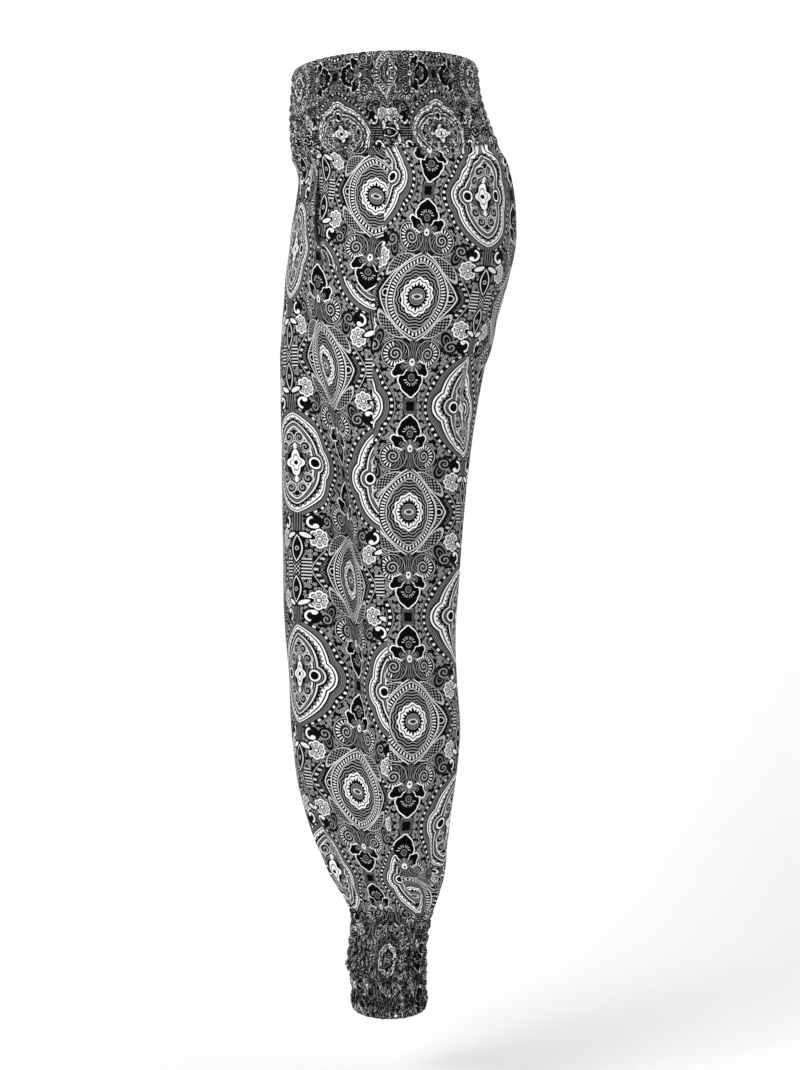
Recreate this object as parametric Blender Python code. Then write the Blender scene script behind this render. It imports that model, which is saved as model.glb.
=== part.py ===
"""A pair of women's harem trousers in the pose they keep on a standing figure.

The trousers hang from a wide shirred waistband, run in two full legs that drape
in one long fold from the front hip to the outside of the calf, and blouse over
shirred ankle cuffs. Each cut piece is its own closed wall of cloth.

The frame is the wearer's: +Z up, the front towards -Y, the wearer's left at +X,
and the origin at the centre of the waist opening. Sizes are in millimetres and
become metres where a mesh is made. A height is given as a drop below the waist.
An angle goes round a leg from its outer side (0), to the front (-90) or the back
(+90), and on to the inner side (180 either way).
"""

import math
from collections import namedtuple

import bmesh
import bpy
from mathutils import Vector

MM = 0.001

# Cloth and sewing
CLOTH_WALL = 1.6  # thickness of one wall of cloth
SEAM_GAP = 0.3  # pieces stand this far apart at a seam
LAYER_GAP = 1.5  # clearance of the pocket facing under the front panel
POCKET_UNDERLAP = 10.0  # how far the facing runs on under the pocket mouth

# Main drops below the waist opening
WAIST_SEAM = 100.0  # lower edge of the waistband at the front and sides
WAIST_TILT = 4.0  # the opening is this much lower at the front, and higher at the back
WAIST_SEAM_LIFT = 22.0  # the seam rises this much at the centre back
LIFT_FADES_AT = 250.0  # rings are level again from here down
POCKET_CURVES_FROM = 200.0  # the pocket mouth turns to the side seam below this
POCKET_END = 254.0  # the pocket mouth meets the side seam here
FACING_SLOPES_FOR = 0.8  # the facing sinks over this share of its way to the mouth
POCKET_TUCKS_FROM = 211.0  # the facing leaves the side seam's level below this
POCKET_TUCKS_TO = 240.0  # and is wholly under the front panel's level from here
CROTCH = 318.0
BLOUSE_FROM = 780.0  # the leg narrows to its cuff below this
CUFF_SEAM = 872.0  # the leg is sewn to its cuff here
CUFF_TUCK = 939.0  # sewn line round the cuff, above its hem band
HEM = 974.0  # cuff hem at the front, back and inner side of the ankle
HEM_DIP = 9.0  # the hem hangs this much lower on the outer side

# Shirring
WAIST_RIDGES = 40  # gathers in each half of the waistband
WAIST_RIDGE_HEIGHT = 2.2
WAIST_ROWS = 6
CUFF_RIDGES = 13  # gathers in each half of a cuff
CUFF_RIDGE_HEIGHT = 2.0
ROWS_ABOVE_TUCK = 4
ROWS_BELOW_TUCK = 4
TUCK_DEPTH = 1.5  # how far the sewn line draws the cuff in
SHIRR_PINCH = 0.45  # share of a gather's height left at a row of elastic

# Panel grids
DRAPE_COLUMNS = 6  # from a front panel's outer edge to the valley of its long drape
FRONT_COLUMNS = 14  # and from that valley to its inner edge
BACK_COLUMNS = 20
FACING_COLUMNS = 9
VALLEY_SHARE = 0.2  # the valley's column keeps at least this share of a row from the edge
FINER_AT_VALLEY = 1.25
NUDGE = 0.01  # a hundredth of a degree or millimetre, for slopes

# One ring of the left side. front and back are where it reaches along Y. centre
# and half place its middle and half width along X. Above the crotch the ring is
# cut off at the middle of the body, and meets the other side's ring there.
Ring = namedtuple("Ring", "drop front back centre half")
RINGS = (
    Ring(0, -97, 95, 0, 135),
    Ring(41, -100, 100, 0, 138),
    Ring(66, -100, 106, 0, 143),
    Ring(91, -98, 114, 0, 149),
    Ring(107, -94, 121, 1, 153),
    Ring(119, -92, 128, 4, 156),
    Ring(146, -95, 135, 10, 159),
    Ring(172, -99, 137, 18, 160),
    Ring(196, -101, 136, 31, 155),
    Ring(221, -104, 130, 49, 143.5),
    Ring(247, -105, 122, 71, 126.5),
    Ring(273, -106, 114, 89, 111.5),
    Ring(290, -106, 111, 96.7, 105),
    Ring(306, -107, 107, 100.6, 101.8),
    Ring(318, -107, 103, 101.5, 101.3),
    Ring(345, -107, 97, 102.5, 98.5),
    Ring(400, -107, 88, 102.5, 95.5),
    Ring(470, -106, 80, 101.5, 92),
    Ring(543, -105, 75, 100, 89),
    Ring(592, -102, 72, 99, 87),
    Ring(642, -99, 73, 98, 84),
    Ring(691, -96, 75, 96.5, 82),
    Ring(740, -91, 72, 95, 77),
    Ring(789, -77, 66, 93.5, 68),
    Ring(838, -57, 59, 92, 55),
    Ring(863, -41, 54, 91, 46),
    Ring(876, -35, 48, 91, 40.5),
    Ring(899, -35, 43, 90.5, 38.5),
    Ring(930, -38, 40, 90, 38.5),
    Ring(952, -34, 41, 90, 37.5),
    Ring(984, -35, 43, 90, 38),
)

# The side seam runs down the outer side, and turns back with the leg at the ankle.
SeamPoint = namedtuple("SeamPoint", "drop angle")
SIDE_SEAM = (
    SeamPoint(0, 3),
    SeamPoint(60, 0),
    SeamPoint(107, -7),
    SeamPoint(150, -9.5),
    SeamPoint(200, -9.5),
    SeamPoint(257, -8.5),
    SeamPoint(400, -1),
    SeamPoint(480, 5),
    SeamPoint(590, 11),
    SeamPoint(700, 10),
    SeamPoint(776, 9),
    SeamPoint(838, 15),
    SeamPoint(880, 38),
    SeamPoint(984, 42),
)

# The pocket mouth: down from the waist seam, then round to the side seam.
POCKET_MOUTH = (
    SeamPoint(85, -54),
    SeamPoint(122, -53),
    SeamPoint(179, -49),
    SeamPoint(202, -43.5),
    SeamPoint(215, -37.5),
    SeamPoint(234, -26.5),
    SeamPoint(245, -18),
    SeamPoint(POCKET_END, -8.5),
)

# The largest folds, as soft ridges (+) and troughs (-) that run down the cloth
# from a top drop to a low drop, through three angles.
Fold = namedtuple("Fold", "top low angle_top angle_mid angle_low depth width")
FOLDS = (
    Fold(215, 815, -62, -17, -12, -18, 21),  # the long drape from hip to calf
    Fold(250, 830, -88, -47, -42, 6, 22),  # its front lip
    Fold(300, 700, -22, 8, 14, 3, 18),  # its rear lip
    Fold(330, 780, -128, -146, -158, -12, 22),  # its fellow inside the leg
    Fold(285, 480, 118, 138, 160, -8, 18),  # under the seat
    Fold(450, 720, 152, 128, 108, -8, 19),  # behind the knee
    Fold(700, 872, -92, -66, -50, -7, 14),  # blousing over the cuff, front
    Fold(760, 880, 46, 62, 80, -7, 12),  # blousing over the cuff, back
    Fold(740, 880, 150, 160, 170, -6, 13),  # blousing over the cuff, inside
)
DRAPE = FOLDS[0]
FOLD_ENDS_SOFTLY = 1.5  # a higher power thins a fold more towards its two ends
FADE_WIDTH = 16.0  # degrees from a centre seam or inseam, within which folds die out

# Even gathers where cloth is drawn into a band
GATHERS_ROUND_ANKLE = 18
ANKLE_GATHER_HEIGHT = 2.4
ANKLE_GATHERS_FROM = 800.0
GATHERS_AT_WAIST = 30  # as if they went all round; they show at the front and back
WAIST_GATHER_HEIGHT = 1.8
WAIST_GATHERS_TO = 215.0
WAIST_GATHERS_START = (48, 66)  # degrees from the outer side, between which they rise


def evenly(start, end, count):
    """Values from start to end, in this many even steps."""
    return [start + (end - start) * i / count for i in range(count + 1)]


def soft_step(value, start, end):
    """0 before start, 1 after end, and a smooth rise between."""
    share = min(1.0, max(0.0, (value - start) / (end - start)))
    return share * share * (3 - 2 * share)


def along(rows, column, drop):
    """A column's value at this drop, on a smooth curve through the rows."""
    last = len(rows) - 2
    i = max(0, min(last, sum(row.drop <= drop for row in rows) - 1))
    a, b = rows[i], rows[i + 1]
    before, after = rows[max(0, i - 1)], rows[min(last + 1, i + 2)]

    def slope(low, high):
        return (getattr(high, column) - getattr(low, column)) / (high.drop - low.drop)

    gap = b.drop - a.drop
    share = min(1.0, max(0.0, (drop - a.drop) / gap))
    rise_a, rise_b = slope(before, b) * gap, slope(a, after) * gap
    value_a, value_b = getattr(a, column), getattr(b, column)
    return (
        value_a * (1 + 2 * share) * (1 - share) ** 2
        + rise_a * share * (1 - share) ** 2
        + value_b * share * share * (3 - 2 * share)
        + rise_b * share * share * (share - 1)
    )


def ring_at(drop):
    """The ring at any drop."""
    return Ring(drop, *(along(RINGS, column, drop) for column in Ring._fields[1:]))


def inner_limit(ring):
    """The angle at which the ring meets the middle of the body or its own inseam."""
    depth = (ring.back - ring.front) / 2
    inseam = 180 - math.degrees(SEAM_GAP / 2 / depth)
    reach = (SEAM_GAP / 2 - ring.centre) / ring.half
    if reach <= -1:
        return inseam
    return min(inseam, math.degrees(math.acos(reach)))


def fold_angle(fold, drop):
    """Where a fold runs at this drop: a smooth curve through its three angles."""
    share = min(1.0, max(0.0, (drop - fold.top) / (fold.low - fold.top)))
    return (
        fold.angle_top * (1 - share) * (1 - 2 * share)
        + fold.angle_mid * 4 * share * (1 - share)
        + fold.angle_low * share * (2 * share - 1)
    )


def fold_height(drop, angle, ring):
    """How far folds and gathers lift the cloth off its plain ring."""
    radius = (ring.back - ring.front + 2 * ring.half) / 4
    height = 0.0
    for fold in FOLDS:
        if not fold.top < drop < fold.low:
            continue
        length_share = (drop - fold.top) / (fold.low - fold.top)
        across = math.radians(angle - fold_angle(fold, drop)) * radius / fold.width
        bell = math.sin(math.pi * length_share) ** FOLD_ENDS_SOFTLY * math.exp(-across * across)
        height += fold.depth * bell
    turn = math.radians(angle)
    at_ankle = soft_step(drop, ANKLE_GATHERS_FROM, CUFF_SEAM)
    height += ANKLE_GATHER_HEIGHT * at_ankle * math.cos(GATHERS_ROUND_ANKLE * turn)
    at_waist = 1 - soft_step(drop, WAIST_SEAM, WAIST_GATHERS_TO)
    past_pocket = soft_step(abs(angle), *WAIST_GATHERS_START)
    height += WAIST_GATHER_HEIGHT * at_waist * past_pocket * math.cos(GATHERS_AT_WAIST * turn)
    return height


def edge_fade(angle, ring):
    """The share of a fold that is left near the centre seams and the inseam."""
    last = inner_limit(ring)
    return 1 - soft_step(abs(angle), last - FADE_WIDTH, last - 2)


def height_of(drop, angle):
    """Z of a point: rings are level, but tilt at the waist and dip at the hem."""
    back = soft_step(angle, 20, 95)
    lift = WAIST_SEAM_LIFT * back * (
        soft_step(drop, 0, WAIST_SEAM) - soft_step(drop, WAIST_SEAM, LIFT_FADES_AT)
    )
    lift += WAIST_TILT * math.sin(math.radians(angle)) * (1 - soft_step(drop, 0, WAIST_SEAM))
    outer = max(0.0, math.cos(math.radians(angle)))
    dip = HEM_DIP * outer * soft_step(drop, CUFF_SEAM, HEM)
    return lift - drop - dip


def ring_point(drop, angle, lift=0.0, mirror=1):
    """A point at a height off the plain ring. mirror is -1 for the right of the body."""
    ring = ring_at(drop)
    turn = math.radians(angle)
    middle, depth = (ring.front + ring.back) / 2, (ring.back - ring.front) / 2
    outward = Vector((math.cos(turn) / ring.half, math.sin(turn) / depth)).normalized() * lift
    x = ring.centre + ring.half * math.cos(turn) + outward.x
    y = middle + depth * math.sin(turn) + outward.y
    return Vector((x * mirror, y, height_of(drop, angle)))


def cloth_point(drop, angle):
    """A point on the outside of the left leg's cloth, with its folds."""
    ring = ring_at(drop)
    point = ring_point(drop, angle, fold_height(drop, angle, ring) * edge_fade(angle, ring))
    point.x = max(point.x, SEAM_GAP / 2)
    return point


def outward_at(drop, angle):
    """The way out of the cloth at a point, square to its folds."""
    sideways = cloth_point(drop, angle + NUDGE) - cloth_point(drop, angle - NUDGE)
    down = cloth_point(drop + NUDGE, angle) - cloth_point(drop - NUDGE, angle)
    return down.cross(sideways).normalized()


def behind(point, drop, angle, depth, level=False):
    """The point this far inside the cloth, still on its own side of the body.

    level keeps it at its height, as along a seam that another piece meets.
    """
    way = outward_at(drop, angle)
    if level:
        way = Vector((way.x, way.y, 0.0)).normalized()
    moved = point - way * depth
    moved.x = max(moved.x, SEAM_GAP / 2)
    return moved


def wall(name, outer, inner, side, material):
    """A closed wall of cloth between two grids of points, each a list of rows.

    The inner grid may have fewer columns than the outer one, by a whole number,
    as where gathers are raised on the outside of a plain band. side is 1 for the
    left of the body and -1 for its mirror image.
    """
    mesh = bmesh.new()

    def vertex(point):
        return mesh.verts.new((point.x * side * MM, point.y * MM, point.z * MM))

    def grid(rows):
        return [[vertex(point) for point in row] for row in rows]

    out, back = grid(outer), grid(inner)
    for rows in (out, back):
        for upper, lower in zip(rows, rows[1:]):
            for j in range(len(upper) - 1):
                mesh.faces.new((upper[j], upper[j + 1], lower[j + 1], lower[j]))
    ratio = (len(out[0]) - 1) // (len(back[0]) - 1)
    for out_rim, back_rim in ((out[0], back[0]), (out[-1], back[-1])):
        for j in range(len(back_rim) - 1):
            crest = out_rim[j * ratio : (j + 1) * ratio + 1]
            mesh.faces.new((back_rim[j], *crest, back_rim[j + 1]))
    for end in (0, -1):
        for i in range(len(out) - 1):
            mesh.faces.new((out[i][end], out[i + 1][end], back[i + 1][end], back[i][end]))
    bmesh.ops.recalc_face_normals(mesh, faces=mesh.faces)
    bmesh.ops.triangulate(mesh, faces=mesh.faces)
    data = bpy.data.meshes.new(name)
    mesh.to_mesh(data)
    mesh.free()
    data.shade_smooth()
    data.set_sharp_from_angle(angle=math.radians(50))
    data.materials.append(material)
    bpy.context.scene.collection.objects.link(bpy.data.objects.new(name, data))


def plain_cloth(name, colour, roughness):
    """A woven cloth's material, in the mean colour of its black and white print."""
    material = bpy.data.materials.new(name)
    material.use_nodes = True
    shader = material.node_tree.nodes["Principled BSDF"]
    shader.inputs["Base Color"].default_value = (*colour, 1)
    shader.inputs["Roughness"].default_value = roughness
    shader.inputs["Metallic"].default_value = 0
    return material


def panel_drops():
    """The rows of a leg panel, closer together at the pocket, crotch and cuff."""
    drops = evenly(WAIST_SEAM + SEAM_GAP, POCKET_CURVES_FROM, 4)[:-1]
    drops += evenly(POCKET_CURVES_FROM, POCKET_END, 4)[:-1]
    drops += evenly(POCKET_END, CROTCH, 5)[:-1]
    drops += evenly(CROTCH, BLOUSE_FROM, 10)[:-1]
    drops += evenly(BLOUSE_FROM, CUFF_SEAM - SEAM_GAP, 5)
    return drops


def gap_angle(ring):
    """Half a seam gap, as an angle round the outer side."""
    return math.degrees(SEAM_GAP / 2 / ((ring.back - ring.front) / 2))


def front_angles(drop, start, end):
    """A front row's columns, one of which runs down the valley of the long drape."""
    valley = min(fold_angle(DRAPE, drop), start - VALLEY_SHARE * (start - end))
    inward = [valley + (end - valley) * (i / FRONT_COLUMNS) ** FINER_AT_VALLEY
              for i in range(1, FRONT_COLUMNS + 1)]
    return evenly(start, valley, DRAPE_COLUMNS) + inward


def panel_walls(drops, rows):
    """Outer and inner points of a panel, from the angles of each of its rows."""
    outer, inner = [], []
    for drop, angles in zip(drops, rows):
        points = [cloth_point(drop, angle) for angle in angles]
        level = drop in (drops[0], drops[-1])
        outer.append(points)
        inner.append([behind(p, drop, a, CLOTH_WALL, level) for p, a in zip(points, angles)])
    return outer, inner


def leg_front(side, word, material):
    """Front panel: from the pocket mouth or side seam to the centre seam or inseam."""
    drops, rows = panel_drops(), []
    for drop in drops:
        ring = ring_at(drop)
        edge = along(SIDE_SEAM, "angle", drop) - gap_angle(ring)
        if drop < POCKET_END:
            edge = min(edge, along(POCKET_MOUTH, "angle", drop))
        rows.append(front_angles(drop, edge, -inner_limit(ring)))
    wall(f"leg_front_{word}", *panel_walls(drops, rows), side, material)


def leg_back(side, word, material):
    """Back panel: from the side seam to the centre seam or inseam."""
    drops, rows = panel_drops(), []
    for drop in drops:
        ring = ring_at(drop)
        seam = along(SIDE_SEAM, "angle", drop) + gap_angle(ring)
        rows.append(evenly(seam, inner_limit(ring), BACK_COLUMNS))
    wall(f"leg_back_{word}", *panel_walls(drops, rows), side, material)


def pocket_facing(side, word, material):
    """The piece that shows in the pocket mouth, and runs on under the front panel."""
    drops = [drop for drop in panel_drops() if drop < POCKET_END + POCKET_UNDERLAP]
    under = CLOTH_WALL + LAYER_GAP
    outer, inner = [], []
    for drop in drops:
        ring = ring_at(drop)
        seam = along(SIDE_SEAM, "angle", drop) - gap_angle(ring)
        mouth = along(POCKET_MOUTH, "angle", min(drop, POCKET_END))
        radius = (ring.back - ring.front + 2 * ring.half) / 4
        far = min(seam, mouth) - math.degrees(POCKET_UNDERLAP / radius)
        tucked = soft_step(drop, POCKET_TUCKS_FROM, POCKET_TUCKS_TO)
        top, low = [], []
        for angle in evenly(seam, far, FACING_COLUMNS):
            sloped = soft_step(seam - angle, 0, max(1.0, FACING_SLOPES_FOR * (seam - mouth)))
            sunk = under * max(sloped, tucked)
            point = cloth_point(drop, angle)
            top.append(behind(point, drop, angle, sunk, drop == drops[0]))
            low.append(behind(point, drop, angle, sunk + CLOTH_WALL, drop == drops[0]))
        outer.append(top)
        inner.append(low)
    wall(f"pocket_facing_{word}", outer, inner, side, material)


def shirred_row(points_at, count, row):
    """One row of a shirred band: gathers outside, and every other point inside, kept plain.

    points_at(share, lift) is the point at a share of the way along the row. Rows
    of elastic, which are the even ones, pinch the gathers.
    """
    height = 1.0 if row % 2 else SHIRR_PINCH
    outer = [points_at(j / count, (j % 2) * height) for j in range(count + 1)]
    inner = [points_at(j / count, None) for j in range(0, count + 1, 2)]
    return outer, inner


def waistband(sign, word, material):
    """Half the waistband, from one side seam round to the other.

    sign is -1 for the front half and 1 for the back half.
    """
    outer, inner = [], []
    for row, drop in enumerate(evenly(0, WAIST_SEAM, WAIST_ROWS)):
        seam = along(SIDE_SEAM, "angle", drop) + sign * gap_angle(ring_at(drop))

        def point_at(share, gather):
            from_middle = abs(1 - 2 * share)
            angle = sign * 90 + (seam - sign * 90) * from_middle
            lift = -CLOTH_WALL if gather is None else WAIST_RIDGE_HEIGHT * gather
            return ring_point(drop, angle, lift, 1 if share <= 0.5 else -1)

        for rows, points in zip((outer, inner), shirred_row(point_at, WAIST_RIDGES * 2, row)):
            rows.append(points)
    wall(f"waistband_{word}", outer, inner, 1, material)


def cuff(sign, half, side, word, material):
    """Half an ankle cuff, from the side seam round to the inseam. sign is as on the waistband."""
    drops = evenly(CUFF_SEAM, CUFF_TUCK, ROWS_ABOVE_TUCK)[:-1]
    drops += evenly(CUFF_TUCK, HEM, ROWS_BELOW_TUCK)
    outer, inner = [], []
    for row, drop in enumerate(drops):
        ring = ring_at(drop)
        seam = along(SIDE_SEAM, "angle", drop) + sign * gap_angle(ring)
        inseam = sign * inner_limit(ring)
        drawn_in = TUCK_DEPTH if drop == CUFF_TUCK else 0.0

        def point_at(share, gather):
            lift = -CLOTH_WALL if gather is None else CUFF_RIDGE_HEIGHT * gather
            return ring_point(drop, seam + (inseam - seam) * share, lift - drawn_in)

        for rows, points in zip((outer, inner), shirred_row(point_at, CUFF_RIDGES * 2, row)):
            rows.append(points)
    wall(f"cuff_{half}_{word}", outer, inner, side, material)


def clear_scene():
    for obj in list(bpy.data.objects):
        bpy.data.objects.remove(obj)


def main():
    clear_scene()
    band_cloth = plain_cloth("shirred_waistband_cloth", (0.14, 0.135, 0.13), 0.86)
    leg_cloth = plain_cloth("printed_leg_cloth", (0.16, 0.155, 0.15), 0.82)
    pocket_cloth = plain_cloth("printed_pocket_cloth", (0.15, 0.145, 0.14), 0.82)
    cuff_cloth = plain_cloth("shirred_cuff_cloth", (0.13, 0.125, 0.12), 0.86)
    for sign, half in ((-1, "front"), (1, "back")):
        waistband(sign, half, band_cloth)
    for side, word in ((1, "left"), (-1, "right")):
        leg_front(side, word, leg_cloth)
        leg_back(side, word, leg_cloth)
        pocket_facing(side, word, pocket_cloth)
        for sign, half in ((-1, "front"), (1, "back")):
            cuff(sign, half, side, word, cuff_cloth)


main()
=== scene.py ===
# %% [markdown]
# # Printed harem trousers with a shirred waistband and cuffs
#
# The trousers keep the form they have on a standing figure, with nobody inside:
# a wide shirred waistband, two full legs that each hang in one long drape from
# the front of the hip to the calf, and ankle cuffs that the legs blouse over.
#
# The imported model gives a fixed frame: every cut piece is there as a plain wall
# of cloth. This script makes each piece again as fine cloth on that same form,
# so it repeats the form's own tables. Sizes are in millimetres until a mesh is
# made. A height is given as a drop below the waist. An angle goes round the left
# leg from its outer side (0), to the front (-90) or the back (+90), and on to
# the inner side (180 either way).

# %% load the frame
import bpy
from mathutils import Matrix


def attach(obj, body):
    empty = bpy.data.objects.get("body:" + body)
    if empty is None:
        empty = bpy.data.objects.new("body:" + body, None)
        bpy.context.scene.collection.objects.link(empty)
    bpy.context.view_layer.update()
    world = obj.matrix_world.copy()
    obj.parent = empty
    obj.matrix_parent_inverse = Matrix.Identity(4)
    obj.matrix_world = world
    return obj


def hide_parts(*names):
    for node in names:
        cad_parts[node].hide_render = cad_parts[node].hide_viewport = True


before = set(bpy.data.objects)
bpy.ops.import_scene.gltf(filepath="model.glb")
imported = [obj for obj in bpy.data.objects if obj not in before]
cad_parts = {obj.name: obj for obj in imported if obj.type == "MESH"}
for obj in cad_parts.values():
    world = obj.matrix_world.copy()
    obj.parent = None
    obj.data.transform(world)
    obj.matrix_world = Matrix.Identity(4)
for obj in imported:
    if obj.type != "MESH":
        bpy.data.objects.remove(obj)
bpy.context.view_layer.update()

import ast
import math

import bmesh
import bpy
import numpy as np

MM = 0.001
print("frame:", len(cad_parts), "pieces of cloth")

# %% [markdown]
# ## The form that the cloth hangs on
#
# On a real pair this form is the wearer's hips and legs, plus the width of the
# cut. It could be sculpted by hand or simulated. Here a table of rings is used,
# since the solids have the same one: each row is one level, with how far forward
# and back the ring reaches, and the middle and half width of its left half.

# %% form tables and rings
CLOTH_WALL = 1.6  # the solids' wall; the folds hang on its outer face
SEAM_GAP = 0.02  # sewn edges meet; the solids, which may not touch, keep 0.3
WAIST_SEAM, WAIST_TILT, WAIST_SEAM_LIFT, LIFT_FADES_AT = 100.0, 4.0, 22.0, 250.0
POCKET_END, POCKET_UNDERLAP = 254.0, 10.0
CUFF_SEAM, CUFF_TUCK, HEM, HEM_DIP = 872.0, 939.0, 974.0, 9.0
SIDES = ((1, "left"), (-1, "right"))  # the sign of x on each side of the body

RINGS = np.array((  # drop, front, back, centre, half
    (0, -97, 95, 0, 135), (41, -100, 100, 0, 138), (66, -100, 106, 0, 143),
    (91, -98, 114, 0, 149), (107, -94, 121, 1, 153), (119, -92, 128, 4, 156),
    (146, -95, 135, 10, 159), (172, -99, 137, 18, 160), (196, -101, 136, 31, 155),
    (221, -104, 130, 49, 143.5), (247, -105, 122, 71, 126.5), (273, -106, 114, 89, 111.5),
    (290, -106, 111, 96.7, 105), (306, -107, 107, 100.6, 101.8), (318, -107, 103, 101.5, 101.3),
    (345, -107, 97, 102.5, 98.5), (400, -107, 88, 102.5, 95.5), (470, -106, 80, 101.5, 92),
    (543, -105, 75, 100, 89), (592, -102, 72, 99, 87), (642, -99, 73, 98, 84),
    (691, -96, 75, 96.5, 82), (740, -91, 72, 95, 77), (789, -77, 66, 93.5, 68),
    (838, -57, 59, 92, 55), (863, -41, 54, 91, 46), (876, -35, 48, 91, 40.5),
    (899, -35, 43, 90.5, 38.5), (930, -38, 40, 90, 38.5), (952, -34, 41, 90, 37.5),
    (984, -35, 43, 90, 38)), float)

# The side seam, as drop and angle, and the pocket mouth, which curves from the
# waist seam round to the side seam.
SIDE_SEAM = np.array((
    (0, 3), (60, 0), (107, -7), (150, -9.5), (200, -9.5), (257, -8.5), (400, -1), (480, 5), (590, 11),
    (700, 10), (776, 9), (838, 15), (880, 38), (984, 42)), float)
POCKET_MOUTH = np.array((
    (85, -54), (122, -53), (179, -49), (202, -43.5), (215, -37.5), (234, -26.5),
    (245, -18), (254, -8.5)), float)


def soft_step(value, start, end):
    """0 before start, 1 after end, and a smooth rise between."""
    share = np.clip((value - start) / (end - start), 0.0, 1.0)
    return share * share * (3 - 2 * share)


def along(table, drop):
    """Each column of a table at these drops, on a smooth curve through its rows."""
    drop = np.asarray(drop, float)
    i = np.clip(np.searchsorted(table[:, 0], drop, side="right") - 1, 0, len(table) - 2)
    a, b = table[i], table[i + 1]
    before, after = table[np.maximum(i - 1, 0)], table[np.minimum(i + 2, len(table) - 1)]
    gap = b[..., :1] - a[..., :1]
    t = np.clip((drop[..., None] - a[..., :1]) / gap, 0.0, 1.0)
    rise_a = (b - before) / (b[..., :1] - before[..., :1]) * gap
    rise_b = (after - a) / (after[..., :1] - a[..., :1]) * gap
    value = (a * (1 + 2 * t) * (1 - t) ** 2 + rise_a * t * (1 - t) ** 2
             + b * t * t * (3 - 2 * t) + rise_b * t * t * (t - 1))
    return np.moveaxis(value[..., 1:], -1, 0)


def inner_limit(drop):
    """The angle at which a ring meets the middle of the body, or its own inseam."""
    front, back, centre, half = along(RINGS, drop)
    inseam = 180 - np.degrees(SEAM_GAP / (back - front))
    reach = (SEAM_GAP / 2 - centre) / half
    meets = np.degrees(np.arccos(np.clip(reach, -1.0, 1.0)))
    return np.where(reach <= -1, inseam, np.minimum(inseam, meets))


def radius_at(drop):
    """The mean radius of a ring, which turns degrees into millimetres of cloth."""
    front, back, _, half = along(RINGS, drop)
    return (back - front + 2 * half) / 4


print("hips at drop 180:", 2 * round(float(sum(along(RINGS, 180.0)[2:])), 1), "mm wide")

# %% [markdown]
# ## The folds
#
# Cloth with spare width falls in folds. They could come from a simulation, but
# then nothing would say where each one lands, and the long drape is the main
# line of this cut. So each fold is one row: it runs down the cloth from a top
# drop to a low drop through three angles, and lifts the cloth (+) or sinks it
# (-) in a soft bell across its width. The first nine are the solids' own.

# %% folds
MAIN_FOLDS = (  # top, low, angle at top, middle and low, depth, width
    (215, 815, -62, -17, -12, -18, 21),  # the long drape from hip to calf
    (250, 830, -88, -47, -42, 6, 22),  # its front lip
    (300, 700, -22, 8, 14, 3, 18),  # its rear lip
    (330, 780, -128, -146, -158, -12, 22),  # its fellow inside the leg
    (285, 480, 118, 138, 160, -8, 18),  # under the seat
    (450, 720, 152, 128, 108, -8, 19),  # behind the knee
    (700, 872, -92, -66, -50, -7, 14),  # blousing over the cuff, front
    (760, 880, 46, 62, 80, -7, 12),  # blousing over the cuff, back
    (740, 880, 150, 160, 170, -6, 13),  # blousing over the cuff, inside
)
FINE_FOLDS = (
    # the bottom of the long drape, and what lies around it
    (235, 760, -57.8, -18.6, -9.9, -7.0, 8.5),
    (262, 430, -38, -20, -12, 1.6, 8), (300, 560, -70, -52, -44, -1.8, 10),
    (420, 640, -36, -30, -30, 2.0, 7), (455, 720, -4, 0, -4, -1.6, 9),
    (560, 780, -34, -30, -40, -1.8, 8), (600, 800, 2, 4, -8, 1.4, 7),
    (283, 428, 52, 56, 60, -3.4, 4.2),  # a small pleat at the back edge
    # pulls from the seat and down the back of the leg
    (232, 330, 40, 62, 92, 1.6, 9), (262, 380, 66, 92, 120, -1.8, 9),
    (300, 520, 44, 52, 50, -1.5, 12), (380, 640, 84, 78, 74, 1.6, 11),
    (520, 760, 54, 46, 40, -1.6, 11), (600, 800, 92, 84, 70, 1.8, 9),
    # the front of the leg
    (240, 420, -112, -104, -98, 1.6, 10), (330, 600, -92, -84, -80, -1.6, 12),
    (560, 790, -110, -104, -92, 1.8, 11), (620, 800, -128, -124, -110, -1.8, 9),
    # slanted where the leg narrows to the cuff
    (764, 872, -92, -72, -40, 2.6, 7), (786, 872, -74, -52, -20, -2.4, 6),
    (800, 872, -46, -26, 2, 2.0, 6), (806, 874, -12, 0, 12, -1.8, 5),
    (800, 874, 14, 26, 43, 3.4, 6), (806, 874, 86, 68, 50, 3.4, 6),
    (838, 876, 44, 46, 47, -3.0, 5), (792, 872, 108, 98, 90, 2.2, 7),
    (800, 872, 142, 134, 126, -2.2, 7), (790, 872, -120, -128, -140, 2.2, 7),
    (806, 872, -150, -158, -166, -2.0, 6),
)
FOLDS_END = 876  # the lowest drop that a moved fold may reach


def fold_angle(fold, drop):
    """Where a fold runs at a drop: a smooth curve through its three angles."""
    top, low, first, middle, last = fold[:5]
    share = np.clip((drop - top) / (low - top), 0.0, 1.0)
    return (first * (1 - share) * (1 - 2 * share) + middle * 4 * share * (1 - share)
            + last * share * (2 * share - 1))


def fold_height(folds, drop, angle, softness=1.5):
    """How far these folds lift the cloth off its plain ring."""
    radius, height = radius_at(drop), np.zeros_like(drop)
    for fold in folds:
        top, low, depth, width = fold[0], fold[1], fold[5], fold[6]
        share = np.clip((drop - top) / (low - top), 0.0, 1.0)
        across = np.radians(angle - fold_angle(fold, drop)) * radius / width
        height += depth * np.sin(np.pi * share) ** softness * np.exp(-across * across)
    return height


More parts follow.
